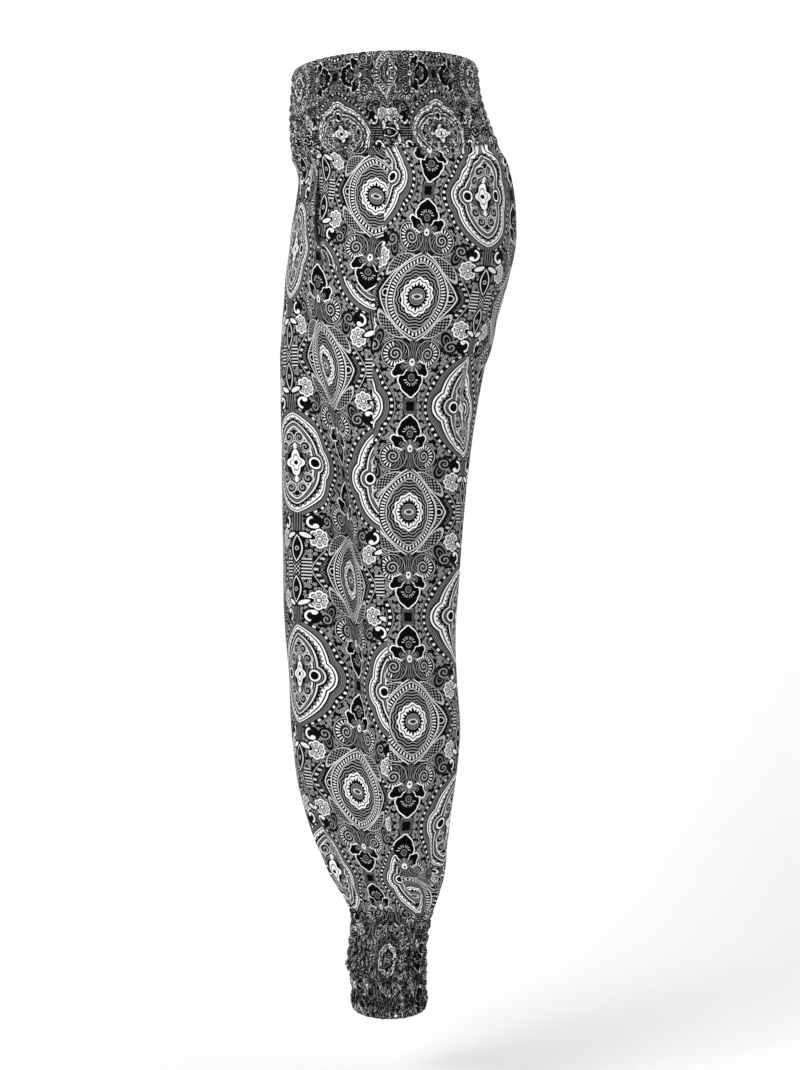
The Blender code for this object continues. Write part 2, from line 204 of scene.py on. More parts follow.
def jittered(folds, seed):
    """The same folds, each a little elsewhere and of another depth, for the other leg."""
    luck = np.random.RandomState(seed)
    moved = []
    for top, low, first, middle, last, depth, width in folds:
        down, turn = luck.uniform(-14, 14), luck.uniform(-6, 6)
        moved.append((top + down, min(low + down, FOLDS_END), first + turn, middle + turn, last + turn,
                      depth * luck.uniform(0.6, 1.25), width * luck.uniform(0.85, 1.3)))
    return tuple(moved)


def wander(seed, *fields, size=1.0, waves=5):
    """A smooth uneven value from -1 to 1 over the fields, whose lengths are near size."""
    luck = np.random.RandomState(seed)
    total = 0.0
    for _ in range(waves):
        phase = luck.uniform(0, 2 * np.pi)
        for field in fields:
            phase = phase + field * luck.uniform(0.5, 1.6) * luck.choice((-1, 1)) * 2 * np.pi / size
        total = total + np.sin(phase)
    return total / waves * 1.6


FOLDS_OF = {1: FINE_FOLDS, -1: jittered(FINE_FOLDS, 12)}
print("folds on each leg:", len(MAIN_FOLDS) + len(FINE_FOLDS))

# %% [markdown]
# ## Points on the cloth
#
# A point is found from its drop and its angle: the plain ring gives the place,
# and the folds push it out or in, square to the ring. Rings are level, but the
# waist seam rises at the back and the hem dips on the outer side. Whole grids
# are worked out in one go, so the cloth can be as fine as it needs to be.

# %% points on the cloth
FADE_WIDTH = 16.0  # degrees from a centre seam or inseam, within which folds die out
WAIST_SEAM_RISES = (20, 95)  # degrees, between which the waist seam rises to the back
SEAM_DROOP, DROOP_ANGLE, DROOP_WIDTH = 8.0, 41, 9  # mm, and in degrees where it is and how wide
DROOP_FROM, DROOP_TO = 850, 905  # drops


def height_of(drop, angle):
    """Z of points: a ring tilts at the waist, rises at the back seam and dips at the hem."""
    back = soft_step(angle, *WAIST_SEAM_RISES)
    lift = WAIST_SEAM_LIFT * back * (
        soft_step(drop, 0, WAIST_SEAM) - soft_step(drop, WAIST_SEAM, LIFT_FADES_AT))
    lift = lift + WAIST_TILT * np.sin(np.radians(angle)) * (1 - soft_step(drop, 0, WAIST_SEAM))
    outer = np.maximum(0, np.cos(np.radians(angle)))
    # the side seam draws the cuff's upper edge down to a point
    near_seam = 1 / (1 + np.abs((angle - DROOP_ANGLE) / DROOP_WIDTH) ** 1.6)
    at_cuff_seam = soft_step(drop, DROOP_FROM, CUFF_SEAM) * (1 - soft_step(drop, CUFF_SEAM, DROOP_TO))
    droop = SEAM_DROOP * near_seam * at_cuff_seam
    return lift - drop - droop - HEM_DIP * outer * soft_step(drop, CUFF_SEAM, HEM)


def ring_points(drop, angle, lift=0.0):
    """Points at a height off the plain ring, on the left of the body."""
    front, back, centre, half = along(RINGS, drop)
    turn, depth = np.radians(angle), (back - front) / 2
    out_x, out_y = np.cos(turn) / half, np.sin(turn) / depth
    size = np.hypot(out_x, out_y)
    x = centre + half * np.cos(turn) + out_x / size * lift
    y = (front + back) / 2 + depth * np.sin(turn) + out_y / size * lift
    return np.stack((x, y, height_of(drop, angle)), -1)


def edge_fade(drop, angle):
    """The share of a fold that is left near the centre seams and the inseam."""
    last = inner_limit(drop)
    return 1 - soft_step(np.abs(angle), last - FADE_WIDTH, last - 2)


def outward_of(points):
    """The way out of a grid of points, square to it, for a grid on the left of the body."""
    down, across = np.gradient(points, axis=0), np.gradient(points, axis=1)
    way = np.cross(down, across)
    way /= np.linalg.norm(way, axis=-1, keepdims=True)
    middle = points.mean(axis=1, keepdims=True) * (1, 1, 0) + points * (0, 0, 1)
    return way if np.sum(way * (points - middle)) > 0 else -way


print("a point on the outer thigh, mm:", np.round(ring_points(400.0, 0.0), 1))

# %% [markdown]
# ## Gathers and soft unevenness
#
# Where a wide leg is sewn to a narrow band, its spare cloth goes into gathers.
# The solids have them as even waves. Sewn ones are never even, so the phase and
# the height of these waves wander, and finer ones lie between them. Adding all
# of a leg's folds and gathers up in one function keeps its two panels, its
# pocket facing and its stitches on the same surface.

# %% gathers of a leg
GATHERS_ROUND_ANKLE, ANKLE_GATHERS_FROM = 18, 800.0
ANKLE_GATHER, FINE_ANKLE_GATHER = 1.5, 0.8  # mm
GATHERS_AT_WAIST, WAIST_GATHERS_TO = 30, 215.0
HIP_GATHER, FINE_HIP_GATHER = 1.3, 0.8  # mm
ACROSS_POCKET = 0.25  # share of the gathers that is left there
HANGING_UNEVENNESS = 0.45  # mm
FOLDS_AT_SEAMS = 0.35  # share of the fine folds that is left at the waistband and the cuff


def gathers_at_ankle(drop, angle, side):
    """Gathers above the cuff, which grow towards its seam."""
    turn, rise = np.radians(angle), soft_step(drop, ANKLE_GATHERS_FROM, CUFF_SEAM)
    uneven = 2.2 * wander(31 + side, turn, size=1.7) + 0.9 * wander(35 + side, drop, size=90)
    height = ANKLE_GATHER + 0.9 * wander(33 + side, turn, size=0.9)
    fine = FINE_ANKLE_GATHER * np.cos(2.3 * GATHERS_ROUND_ANKLE * turn + 1.7 * uneven)
    return rise * height * np.cos(GATHERS_ROUND_ANKLE * turn + uneven) + rise ** 2 * fine


def gathers_under_waistband(drop, angle, side):
    """Gathers all round, but nearly flat across the pocket."""
    turn = np.radians(angle)
    uneven = 1.8 * wander(41 + side, turn, size=1.3) + 0.8 * wander(42 + side, drop, size=70)
    rise = 1 - soft_step(drop, WAIST_SEAM, WAIST_GATHERS_TO + 34 * wander(43 + side, turn, size=0.5))
    past_pocket = np.maximum(soft_step(np.abs(angle), 48, 66), soft_step(angle, 6, 20))
    fine = FINE_HIP_GATHER * rise * np.cos(2.4 * GATHERS_AT_WAIST * turn - 1.4 * uneven)
    waves = HIP_GATHER * np.cos(GATHERS_AT_WAIST * turn + uneven) + fine
    return rise * (ACROSS_POCKET + (1 - ACROSS_POCKET) * past_pocket) * waves


def leg_lift(drop, angle, side):
    """Folds and gathers of a leg, in all their sizes."""
    ends = soft_step(drop, WAIST_SEAM, WAIST_SEAM + 20) * (1 - soft_step(drop, CUFF_SEAM - 6, CUFF_SEAM))
    lift = fold_height(MAIN_FOLDS, drop, angle)
    fine = fold_height(FOLDS_OF[side], drop, angle, 1.2)
    lift += fine * (FOLDS_AT_SEAMS + (1 - FOLDS_AT_SEAMS) * ends)
    lift += gathers_at_ankle(drop, angle, side) + gathers_under_waistband(drop, angle, side)
    lift += HANGING_UNEVENNESS * wander(51 + side, np.radians(angle), drop / 160, size=0.8)
    return lift * edge_fade(drop, angle)


print("gathers round an ankle:", GATHERS_ROUND_ANKLE)

# %% [markdown]
# ## Where the print lies on each piece
#
# Printed cloth is cut flat, then sewn, gathered and worn. To carry the print,
# every point of a piece needs its place on the flat cloth, which Blender keeps
# as a UV map. An automatic unwrap would ignore the cut, so the place is worked
# out from tables. Each gives the angles at which a few columns of the print run
# down the piece, and the drops that its rows reach. The print's own unit is a
# little under a millimetre: a repeat is 136 units wide and 218 tall.

# %% print tables
PRINT_UNIT = 0.967  # mm of flat cloth
HALF_WIDE, HALF_TALL = 68, 109  # print units of half a repeat

BACK_UNITS = (68, 97, 116, 126, 158)
BACK_COLUMNS = np.array((  # drop, angles of the columns at those units
    (99, 18.5, 31, 41.5, 47, 66), (125, 14.5, 27, 37, 42.5, 60), (150, 11.5, 23.5, 33, 38, 55),
    (254, 12.7, 26.5, 40, 47, 66),
    (345, 17.7, 31, 47.8, 55.3, 56.5), (440, 22.5, 37.5, 58, 66, 86), (575, 25.6, 43.9, 68.9, 76, 95),
    (678, 27.2, 45, 66, 73, 95), (780, 22.7, 42.5, 61.8, 70, 98), (827, 19, 40, 58, 67, 96),
    (856, 28, 50, 70, 80, 112), (876, 38, 60, 78, 88, 122)), float)
BACK_ROWS = np.array((  # drop, print units
    (99, -46), (145, 0), (254, 109), (363, 218), (468, 327), (573, 436), (678, 545),
    (784, 654), (827, 699), (856, 763), (876, 790)), float)
FRONT_UNITS = (-40, 0, 24, 46, 68, 92, 112)
FRONT_COLUMNS = np.array((  # drop, angles of the columns at those units
    (99, -84, -66, -58, -52, -46, -35, -27), (209, -86, -68.1, -59, -52, -44.8, -34, -25),
    (321, -88, -65, -49, -41, -35.3, -25.2, -14.6), (425, -83, -53, -37.4, -30.7, -23.9, -17.4, -4.7),
    (532, -82, -51, -30.3, -21.7, -17.2, -11.1, -3.1), (637, -86, -56.5, -36.2, -19.1, -10.8, -5.4, 5.2),
    (742, -94, -68, -39.7, -26.3, -13.6, -2, 6), (834, -96, -62, -46, -31, -15.6, -2, 10),
    (876, -92, -60, -44, -29, -14, 0, 14)), float)
FRONT_ROWS = np.array((
    (99, -101), (197, 0), (310, 109), (418, 218), (524.5, 327), (631, 436), (737, 545),
    (834, 654), (876, 708)), float)
DRAPE_PULL = 17.0  # rows lie this much lower on the outer side of the long drape
WAIST_FULLNESS, CUFF_FULLNESS = 1.55, 1.85  # flat cloth to gathered cloth
CUFF_ROW_LENGTH = 0.78  # mm of cuff for one print unit
FACING_START, FACING_DEGREES = -46.6, 32.2  # the angle of column 0, and the degrees on to column 68
FACING_ROW_DROP, FACING_ROW_FALLS = 137, 14  # the drop of row 109 on column 0, and its fall to column 68


def units_per_degree(drop):
    return radius_at(drop) * np.pi / 180 / PRINT_UNIT


def across_print(angle, columns, units, rate):
    """Print units at these angles, in straight steps between the columns."""
    value = units[0] + (angle - columns[0]) * rate
    for a, b, low, high in zip(columns, columns[1:], units, units[1:]):
        value = np.where(angle > a, low + (angle - a) / (b - a) * (high - low), value)
    return np.where(angle > columns[-1], units[-1] + (angle - columns[-1]) * rate, value)


def back_print(drop, angle):
    columns = along(BACK_COLUMNS, drop)
    across = across_print(angle, columns, BACK_UNITS, units_per_degree(drop))
    # near the waist seam, rows lie higher by the pocket and lower towards the back
    rise = np.interp(drop, (100, 145, 254, 330), (14, 14, 5, 0)) * (1 - soft_step(across, 20, 68))
    fall = np.interp(drop, (100, 200, 300), (7, 5, 0)) * soft_step(across, 72, 130)
    return across, np.interp(drop + rise - fall, *BACK_ROWS.T)


def front_print(drop, angle):
    columns = along(FRONT_COLUMNS, drop)
    across = across_print(angle, columns, FRONT_UNITS, units_per_degree(drop))
    pull = DRAPE_PULL * soft_step(across, 5, 105) * (1 - soft_step(drop, 780, CUFF_SEAM))
    return across, np.interp(drop - pull, *FRONT_ROWS.T)


def facing_print(drop, angle):
    # its columns stand straight, and its rows slant down to the side seam
    across = (angle - FACING_START) * HALF_WIDE / FACING_DEGREES
    falls = FACING_ROW_FALLS * np.clip(across / HALF_WIDE, -0.4, 1.3)
    return across, HALF_TALL + (drop - FACING_ROW_DROP - falls) / PRINT_UNIT


REPEAT = [round(2 * half * PRINT_UNIT) for half in (HALF_WIDE, HALF_TALL)]
print("one repeat of the print, mm:", REPEAT)

# %% [markdown]
# ## From a grid to a piece of cloth
#
# Each piece becomes a thin closed shell: a fine grid outside, one of half as
# many rows and columns inside, and rims that join them. Blender's Solidify
# could add the inner side, but it would double the count of faces.
#
# A piece has two UV maps. "print" is the place on the flat cloth. "OFBake" lays
# the outside, the inside and the rims apart in one square, so that the colours
# can be baked to a picture when the model is exported.

# %% shell helpers
CLOTH = 1.1  # mm, thickness of the shell that stands for one layer of cloth
# How far each part reaches across the square that colours are baked to.
OUTER_ISLAND, INNER_ISLAND, RIM_ISLANDS = (0.006, 0.735), (0.795, 0.994), (0.748, 0.782)
MARGIN = 0.006


def facing_out(mesh_data):
    """Makes all faces of a closed mesh point outwards."""
    work = bmesh.new()
    work.from_mesh(mesh_data)
    bmesh.ops.recalc_face_normals(work, faces=work.faces)
    work.to_mesh(mesh_data)
    work.free()


def rim_faces(out, back):
    """Faces between an outer edge and an inner edge with half as many steps."""
    return [(back[j], out[2 * j], out[2 * j + 1], out[2 * j + 2], back[j + 1])
            for j in range(len(back) - 1)]


def shell_faces(out, back):
    """Faces of a shell, and the island of each: 0 outside, 1 inside and 2 to 5 on the rims."""
    faces, island = [], []
    for number, grid in enumerate((out, back)):
        quads = np.stack((grid[:-1, :-1], grid[:-1, 1:], grid[1:, 1:], grid[1:, :-1]), -1)
        faces += quads.reshape(-1, 4).tolist()
        island += [number] * (quads.size // 4)
    edges = [(grid[0], grid[-1], grid[:, 0], grid[:, -1]) for grid in (out, back)]
    for number, (rim_out, rim_back) in enumerate(zip(*edges)):
        rim = rim_faces(rim_out.tolist(), rim_back.tolist())
        faces += rim
        island += [2 + number] * len(rim)
    return faces, np.array(island)


def baked_places(island, across, down, wrong):
    """Where each corner of a face lies in the square that colours are baked to."""
    long_way = MARGIN + (1 - 2 * MARGIN) * np.stack((across, 1 - down))
    u, v = np.zeros(len(island)), long_way[1]
    for number, (start, end) in enumerate((OUTER_ISLAND, INNER_ISLAND)):
        u = np.where(island == number, start + (end - start) * across, u)
    start, end = RIM_ISLANDS
    step = (end - start) / 4
    for number in range(4):  # rims, side by side in a narrow strip
        here = island == 2 + number
        u = np.where(here, start + step * (number + 0.15 + 0.7 * wrong), u)
        v = np.where(here, long_way[0 if number < 2 else 1], v)
    return np.stack((u, v), -1)


def values_of(items, attribute):
    """One whole number for each of a mesh's loops or faces, as an array."""
    values = np.empty(len(items), np.int32)
    items.foreach_get(attribute, values)
    return values


print("shells of", CLOTH, "mm cloth")

# %% cloth_piece
PIECES = {}  # name of the node that it stands for: piece


def cloth_piece(node, outer, inner, place, side, tucked=None):
    """A shell from two grids of points in mm, with the print's place at each outer point.

    tucked is 1 at the bottom of a gather and 0 on its crest. The materials darken the colour by it, as
    painted shade.
    """
    name, sizes = node + "_cloth", (outer.shape[:2], inner.shape[:2])
    points = np.concatenate((outer.reshape(-1, 3), inner.reshape(-1, 3))) * (side * MM, MM, MM)
    numbers = np.split(np.arange(len(points)), [outer[..., 0].size])
    faces, island = shell_faces(*(part.reshape(size) for part, size in zip(numbers, sizes)))
    data = bpy.data.meshes.new(name)
    data.from_pydata(points.tolist(), [], faces)
    facing_out(data)

    corner = values_of(data.loops, "vertex_index")
    island = np.repeat(island, values_of(data.polygons, "loop_total"))
    across = np.concatenate([np.tile(np.linspace(0, 1, n), m) for m, n in sizes])[corner]
    down = np.concatenate([np.repeat(np.linspace(0, 1, m), n) for m, n in sizes])[corner]
    inside = np.arange(len(points)) >= outer[..., 0].size
    place = np.stack(place, -1)
    flat = np.concatenate((place.reshape(-1, 2), place[::2, ::2].reshape(-1, 2)))[corner]
    baked = baked_places(island, across, down, inside[corner].astype(float))
    for label, values in (("print", flat * PRINT_UNIT * MM), ("OFBake", baked)):
        layer = data.uv_layers.new(name=label)
        layer.data.foreach_set("uv", np.ascontiguousarray(values, np.float32).ravel())
    data.uv_layers.active = data.uv_layers["print"]
    data.uv_layers["print"].active_render = True
    deep = np.zeros(len(points))
    if tucked is not None:
        deep = np.concatenate((tucked.ravel(), tucked[::2, ::2].ravel()))
    for label, values in (("wrong_side", inside), ("tucked", deep)):
        layer = data.attributes.new(label, "FLOAT", "POINT")
        layer.data.foreach_set("value", values.astype(np.float32))
    data.shade_smooth()
    data.set_sharp_from_angle(angle=math.radians(55))
    piece = bpy.data.objects.new(name, data)
    bpy.context.scene.collection.objects.link(piece)
    PIECES[node] = piece


def lined(outer, thickness=CLOTH):
    """The inner grid: every other row and column of the outer one, moved in."""
    inner = (outer - outward_of(outer) * thickness)[::2, ::2]
    inner[..., 0] = np.maximum(inner[..., 0], SEAM_GAP / 2)
    return inner


print("every piece has a place for the print, and one to bake to")

# %% [markdown]
# ## Leg panels
#
# Each leg is cut in two: a front panel, whose outer edge is the curved pocket
# mouth above and the side seam below, and a back panel. Both are grids about
# two millimetres fine, between the angles of their seams. A pressed seam draws
# the cloth in a little along its line, and the pocket mouth has a turned edge,
# which stands up and is stitched down a few millimetres in.

# %% leg panels
PANEL_ROWS, PANEL_COLUMNS = 348, 132
SEAM_DRAWS_IN, SEAM_WIDTH = 0.8, 2.6  # mm
MOUTH_STITCHING = 6.0  # mm from the pocket mouth's edge to its stitching
MOUTH_EDGE, EDGE_WIDTH = 0.8, 3.2  # mm, height and width of the turned edge
STITCHING_SINKS, STITCHING_WIDTH = 0.5, 1.3  # mm, depth and width of the stitched groove
GAPE_LIP, GAPE_DEPTH = 1.2, 5.5  # mm that the mouth's edge stands up, and that the facing lies deeper
GAPE_OPENS, GAPE_CLOSES = (122, 150), (205, 238)  # drops
MOUTH_SAMPLES = 160  # points along the mouth, from which distances are measured


def seam_angle(drop, sign):
    front, back = along(RINGS, drop)[:2]
    return along(SIDE_SEAM, drop)[0] + sign * np.degrees(SEAM_GAP / (back - front))


def panel_grid(start_of, end_of):
    """Drops and angles of a panel's grid, between two edges given as angles at a drop."""
    drops = np.linspace(WAIST_SEAM + SEAM_GAP, CUFF_SEAM - SEAM_GAP, PANEL_ROWS + 1)
    shares = np.linspace(0, 1, PANEL_COLUMNS + 1)
    start, end = start_of(drops)[:, None], end_of(drops)[:, None]
    return np.repeat(drops[:, None], len(shares), 1), start + (end - start) * shares


def seam_dip(drop, angle, seam):
    """How far the side seam draws the cloth in, near its line."""
    away = np.radians(angle - seam) * radius_at(drop)
    return -SEAM_DRAWS_IN * np.exp(-(away / SEAM_WIDTH) ** 2)


def gaping(drop):
    """How much the pocket mouth stands open, along its straight upper part."""
    return soft_step(drop, *GAPE_OPENS) * (1 - soft_step(drop, *GAPE_CLOSES))


def mouth_distance(drop, angle):
    """How far points are from the edge of the pocket mouth, over the cloth."""
    edge_drops = np.linspace(WAIST_SEAM, POCKET_END, MOUTH_SAMPLES)
    nearest = np.full(drop.shape, np.inf)
    for d, a in zip(edge_drops, along(POCKET_MOUTH, edge_drops)[0]):
        nearest = np.minimum(nearest, np.hypot(drop - d, np.radians(angle - a) * radius_at(d)))
    return nearest


def front_edge(drop):
    seam = seam_angle(drop, -1)
    return np.where(drop < POCKET_END, np.minimum(seam, along(POCKET_MOUTH, drop)[0]), seam)


def front_lift(drop, angle, side):
    lift = leg_lift(drop, angle, side)
    below_pocket = soft_step(drop, POCKET_END - 4, POCKET_END + 6)
    lift += seam_dip(drop, angle, along(SIDE_SEAM, drop)[0]) * below_pocket
    away = mouth_distance(drop, angle)
    by_pocket = 1 - soft_step(drop, POCKET_END, POCKET_END + 12)
    turned_edge = (MOUTH_EDGE + GAPE_LIP * gaping(drop)) * np.exp(-(away / EDGE_WIDTH) ** 2)
    stitched_down = STITCHING_SINKS * np.exp(-((away - MOUTH_STITCHING) / STITCHING_WIDTH) ** 2)
    return lift + by_pocket * (turned_edge - stitched_down)


def back_lift(drop, angle, side):
    return leg_lift(drop, angle, side) + seam_dip(drop, angle, along(SIDE_SEAM, drop)[0])


def leg_panel(kind, side, word):
    if kind == "front":
        drop, angle = panel_grid(front_edge, lambda d: -inner_limit(d))
        lift, place = front_lift(drop, angle, side), front_print(drop, angle)
    else:
        drop, angle = panel_grid(lambda d: seam_angle(d, 1), inner_limit)
        lift, place = back_lift(drop, angle, side), back_print(drop, angle)
    outer = ring_points(drop, angle, lift)
    outer[..., 0] = np.maximum(outer[..., 0], SEAM_GAP / 2)
    cloth_piece(f"leg_{kind}_{word}", outer, lined(outer), place, side)


for side, word in SIDES:
    for kind in ("front", "back"):
        leg_panel(kind, side, word)
print({node: len(piece.data.polygons) for node, piece in PIECES.items()})

# %% [markdown]
# ## Pocket facings
#
# The facing shows in the mouth of each hip pocket, from the waist seam to the
# side seam, and runs on a little under the front panel. It is the same cloth.
# It sinks below the front panel's level before it reaches the mouth, and its
# upper edge is caught behind the waistband. The mouth gapes a little, so the
# facing lies a few millimetres deeper along it.

# %% pocket facings
FACING_ROWS, FACING_COLUMNS = 80, 60
FACING_CLOTH = 0.8  # mm, a thinner shell than the panels'
FACING_SUNK = 2.3  # mm below the front panel, under the mouth's edge
FACING_SLOPES_FOR = 0.8  # it sinks over this share of its way to the mouth
POCKET_TUCKS_FROM, POCKET_TUCKS_TO = 211, 240  # drops, between which all its width sinks
CAUGHT = 5.0  # mm of facing behind the waistband
CAUGHT_SUNK = 2.6  # mm that it lies below the waistband's plain ring


def pocket_facing(side, word):
    drops = np.linspace(WAIST_SEAM - CAUGHT, POCKET_END + POCKET_UNDERLAP, FACING_ROWS + 1)
    seam = seam_angle(drops, -1)
    mouth = along(POCKET_MOUTH, np.minimum(drops, POCKET_END))[0]
    far = np.minimum(seam, mouth) - np.degrees(POCKET_UNDERLAP / radius_at(drops))
    shares = np.linspace(0, 1, FACING_COLUMNS + 1)
    drop = np.repeat(drops[:, None], len(shares), 1)
    angle = seam[:, None] + (far - seam)[:, None] * shares
    slope_ends = np.maximum(1.0, FACING_SLOPES_FOR * (seam - mouth))[:, None]
    slope = soft_step(seam[:, None] - angle, 0, slope_ends)
    tucked = soft_step(drop, POCKET_TUCKS_FROM, POCKET_TUCKS_TO)
    lift = leg_lift(drop, angle, side) + seam_dip(drop, angle, along(SIDE_SEAM, drop)[0])
    caught = 1 - soft_step(drop, WAIST_SEAM - 1, WAIST_SEAM + 3)
    lift -= np.maximum(FACING_SUNK * np.maximum(slope, tucked), CAUGHT_SUNK * caught)
    from_mouth = np.radians(angle - mouth[:, None]) * radius_at(drop)
    lift -= GAPE_DEPTH * gaping(drop) * (1 - soft_step(from_mouth, 0.5, 5.5))
    outer = ring_points(drop, angle, lift)
    place = facing_print(drop, angle)
    cloth_piece("pocket_facing_" + word, outer, lined(outer, FACING_CLOTH), place, side)


for side, word in SIDES:
    pocket_facing(side, word)
print("facing faces:", len(PIECES["pocket_facing_left"].data.polygons))

# %% [markdown]
# ## Shirring
#
# A shirred band is cloth sewn with rows of elastic thread. Relaxed, the elastic
# draws it into fine gathers that stand up between the rows and are pinched flat
# at each row. They run straight across the rows, but never evenly. The height
# follows a cosine whose phase wanders. Much of the flat cloth hides in the
# valleys, so the print is broken there and reads best on the crests.

# %% shirring
WAIST_SPACES = 9  # spaces between the waistband's edges and its eight rows of elastic
CUFF_SPACES_ABOVE, CUFF_SPACES_BELOW = 5, 2  # the same in a cuff, above and below its sewn line
WAIST_HALF_ROUND, CUFF_HALF_ROUND = 365, 125  # mm of a front or back piece, along the band
WAIST_PITCH, WAIST_GATHER = 4.8, 2.2  # mm from gather to gather, and their height
CUFF_PITCH, CUFF_GATHER = 3.9, 2.5
WAIST_HIDDEN, CUFF_HIDDEN = 0.35, 0.46  # share of the flat cloth that the valleys hide
BAND_COLUMNS_PER_GATHER = 7
INSIDE_FOLLOWS, INSIDE_DEPTH = 0.55, 0.8 * CLOTH_WALL  # share of the gathers' height, and mm
ROW_KEEPS, ROW_SINKS = 0.30, 0.6  # share of a gather's height left at a row of elastic, and mm
MEAN_HEIGHT, UNEVEN_HEIGHT = 0.78, 0.40  # shares of a gather's full height
THREAD_PROUD = 0.12  # mm, how far the sewn rows stand off the cloth
BAND_LINES = {}  # name of the node: its outer grid, moved out by that much


def arc_from_start(drop, angle):
    """The length along each row of a grid, from its first point, on the plain ring."""
    points = ring_points(drop, angle)
    steps = np.linalg.norm(np.diff(points, axis=1), axis=-1)
    return np.concatenate((np.zeros((len(drop), 1)), np.cumsum(steps, axis=1)), 1)


def shirring(arc, drop, row_share, pitch, height, openness, seed):
    """Lift of the gathers, how far the flat cloth runs ahead of the arc, how tucked in it is.

    row_share counts the rows of elastic: it is a whole number on each of them. The
    higher openness is, the narrower the painted shade of the valleys is.
    """
    # gathers drift along the band, lean a little from row to row, and have small kinks
    phase = arc / pitch + 0.9 * wander(seed, arc, size=50)
    phase += 0.34 * wander(seed + 1, arc, drop * 2.2, size=22)
    phase += 0.24 * wander(seed + 2, arc * 1.7, drop * 3, size=10)
    free = np.abs(np.sin(np.pi * row_share)) ** 0.7
    tall = height * (ROW_KEEPS + (1 - ROW_KEEPS) * free)
    tall *= MEAN_HEIGHT + UNEVEN_HEIGHT * wander(seed + 3, arc, drop, size=15)
    crest = 0.5 + 0.5 * np.cos(2 * np.pi * phase)
    from_crest = phase - np.round(phase)
    ahead = pitch * (0.5 * np.sign(from_crest) * np.abs(2 * from_crest) ** 5 - from_crest)
    # tucked is where the materials paint shade: the valleys, and the rows of elastic that pinch the cloth
    tucked = (1 - crest) ** openness * (0.55 + 0.45 * free) + 0.5 * (1 - free) ** 2
    return tall * crest - ROW_SINKS * (1 - free), ahead, np.clip(tucked, 0, 1)


def inside_of(lift):
    """The inner side follows the gathers less, because they fill with cloth."""
    return lift[::2, ::2] * INSIDE_FOLLOWS - INSIDE_DEPTH


print("gathers round the waist: about", round(2 * WAIST_HALF_ROUND / WAIST_PITCH))

# %% [markdown]
# ## Waistband
#
# The waistband is two pieces, front and back, that meet at the side seams. Its
# cloth is cut across the print, so the print lies on its side. The upper edge
# is turned in, and the last row of elastic ruffles it slightly. Every gather
# has seven columns of points, enough for a round crest and a narrow valley.

# %% waistband
WAISTBAND_GRID = 78  # rows
SIDE_UNITS = 84.5  # the print's place at the outermost point of the waist
WAIST_COLUMN_LOW, WAIST_COLUMN_HIGH = 84, 23  # the drops of the print's columns 0 and 68
WAIST_RADIUS = 105  # mm, at the side
# openness only sets how narrow the painted shade of the valleys is
WAIST_OPENNESS = 2.6
SEAM_KEEPS, EDGE_KEEPS = 0.35, 0.3  # share of a gather's height at a side seam and at the upper edge
TURNED_IN, TURNED_DROP, TURNED_WIDTH = 0.5, 4, 3.5  # mm: how proud the turned edge is, its place and width
BAND_SEAM_SINKS, BAND_SEAM_WIDTH = 0.7, 2.2  # mm
RUFFLE = 0.3  # mm that the upper edge waves up and down


def whole_ring_points(drop, angle, lift):
    """Points all round the waist. An angle past the middle of the body mirrors to the right."""
    past = np.abs(angle) > 90
    points = ring_points(drop, np.where(past, np.sign(angle) * 180 - angle, angle), lift)
    points[..., 0] = np.where(past, -points[..., 0], points[..., 0])
    return points


def waistband_grid(sign):
    drops = np.linspace(0, WAIST_SEAM, WAISTBAND_GRID + 1)
    count = BAND_COLUMNS_PER_GATHER * round(WAIST_HALF_ROUND / WAIST_PITCH)
    shares = np.linspace(0, 1, count + 1)
    seam = seam_angle(drops, sign)[:, None]
    angle = seam + (sign * 180 - 2 * seam) * shares  # on past the middle to the other side seam
    return np.repeat(drops[:, None], count + 1, 1), angle


def waistband_lift(drop, arc, seed):
    row_share = drop / WAIST_SEAM * WAIST_SPACES
    lift, ahead, tucked = shirring(arc, drop, row_share, WAIST_PITCH, WAIST_GATHER, WAIST_OPENNESS, seed)
    seam = np.minimum(arc, arc[:, -1:] - arc)
    lift *= SEAM_KEEPS + (1 - SEAM_KEEPS) * soft_step(seam, 0, 5)
    lift *= EDGE_KEEPS + (1 - EDGE_KEEPS) * soft_step(drop, 0, 8)
    lift += TURNED_IN * np.exp(-((drop - TURNED_DROP) / TURNED_WIDTH) ** 2)
    lift -= BAND_SEAM_SINKS * np.exp(-(seam / BAND_SEAM_WIDTH) ** 2)
    return lift, ahead * WAIST_HIDDEN, tucked


def waistband(sign, word):
    drop, angle = waistband_grid(sign)
    past = np.abs(angle) > 90
    folded = np.where(past, np.sign(angle) * 180 - angle, angle)
    half = arc_from_start(drop, np.where(past, sign * 90, folded))
    arc = np.where(past, 2 * half[:, -1:] - half[:, ::-1], half)
    lift, ahead, tucked = waistband_lift(drop, arc, 60 + sign)
    from_side = arc + ahead + sign * np.radians(seam_angle(drop[:, :1], sign)) * WAIST_RADIUS
    across = (WAIST_COLUMN_LOW - drop) * HALF_WIDE / (WAIST_COLUMN_LOW - WAIST_COLUMN_HIGH)
    place = (across, SIDE_UNITS - from_side * WAIST_FULLNESS)
    outer = whole_ring_points(drop, angle, lift)
    waves = np.pi * arc / WAIST_PITCH + 2 * wander(90 + sign, arc, size=40)
    ruffle = RUFFLE * np.exp(-(drop / 3.0) ** 2) * np.cos(waves)
    outer[..., 2] += ruffle
    inner = whole_ring_points(drop[::2, ::2], angle[::2, ::2], inside_of(lift))
    inner[..., 2] += ruffle[::2, ::2]
    node = "waistband_" + word
    BAND_LINES[node] = whole_ring_points(drop, angle, lift + THREAD_PROUD)
    cloth_piece(node, outer, inner, place, 1, tucked)


for sign, word in ((-1, "front"), (1, "back")):
    waistband(sign, word)
print("waistband faces:", len(PIECES["waistband_front"].data.polygons))

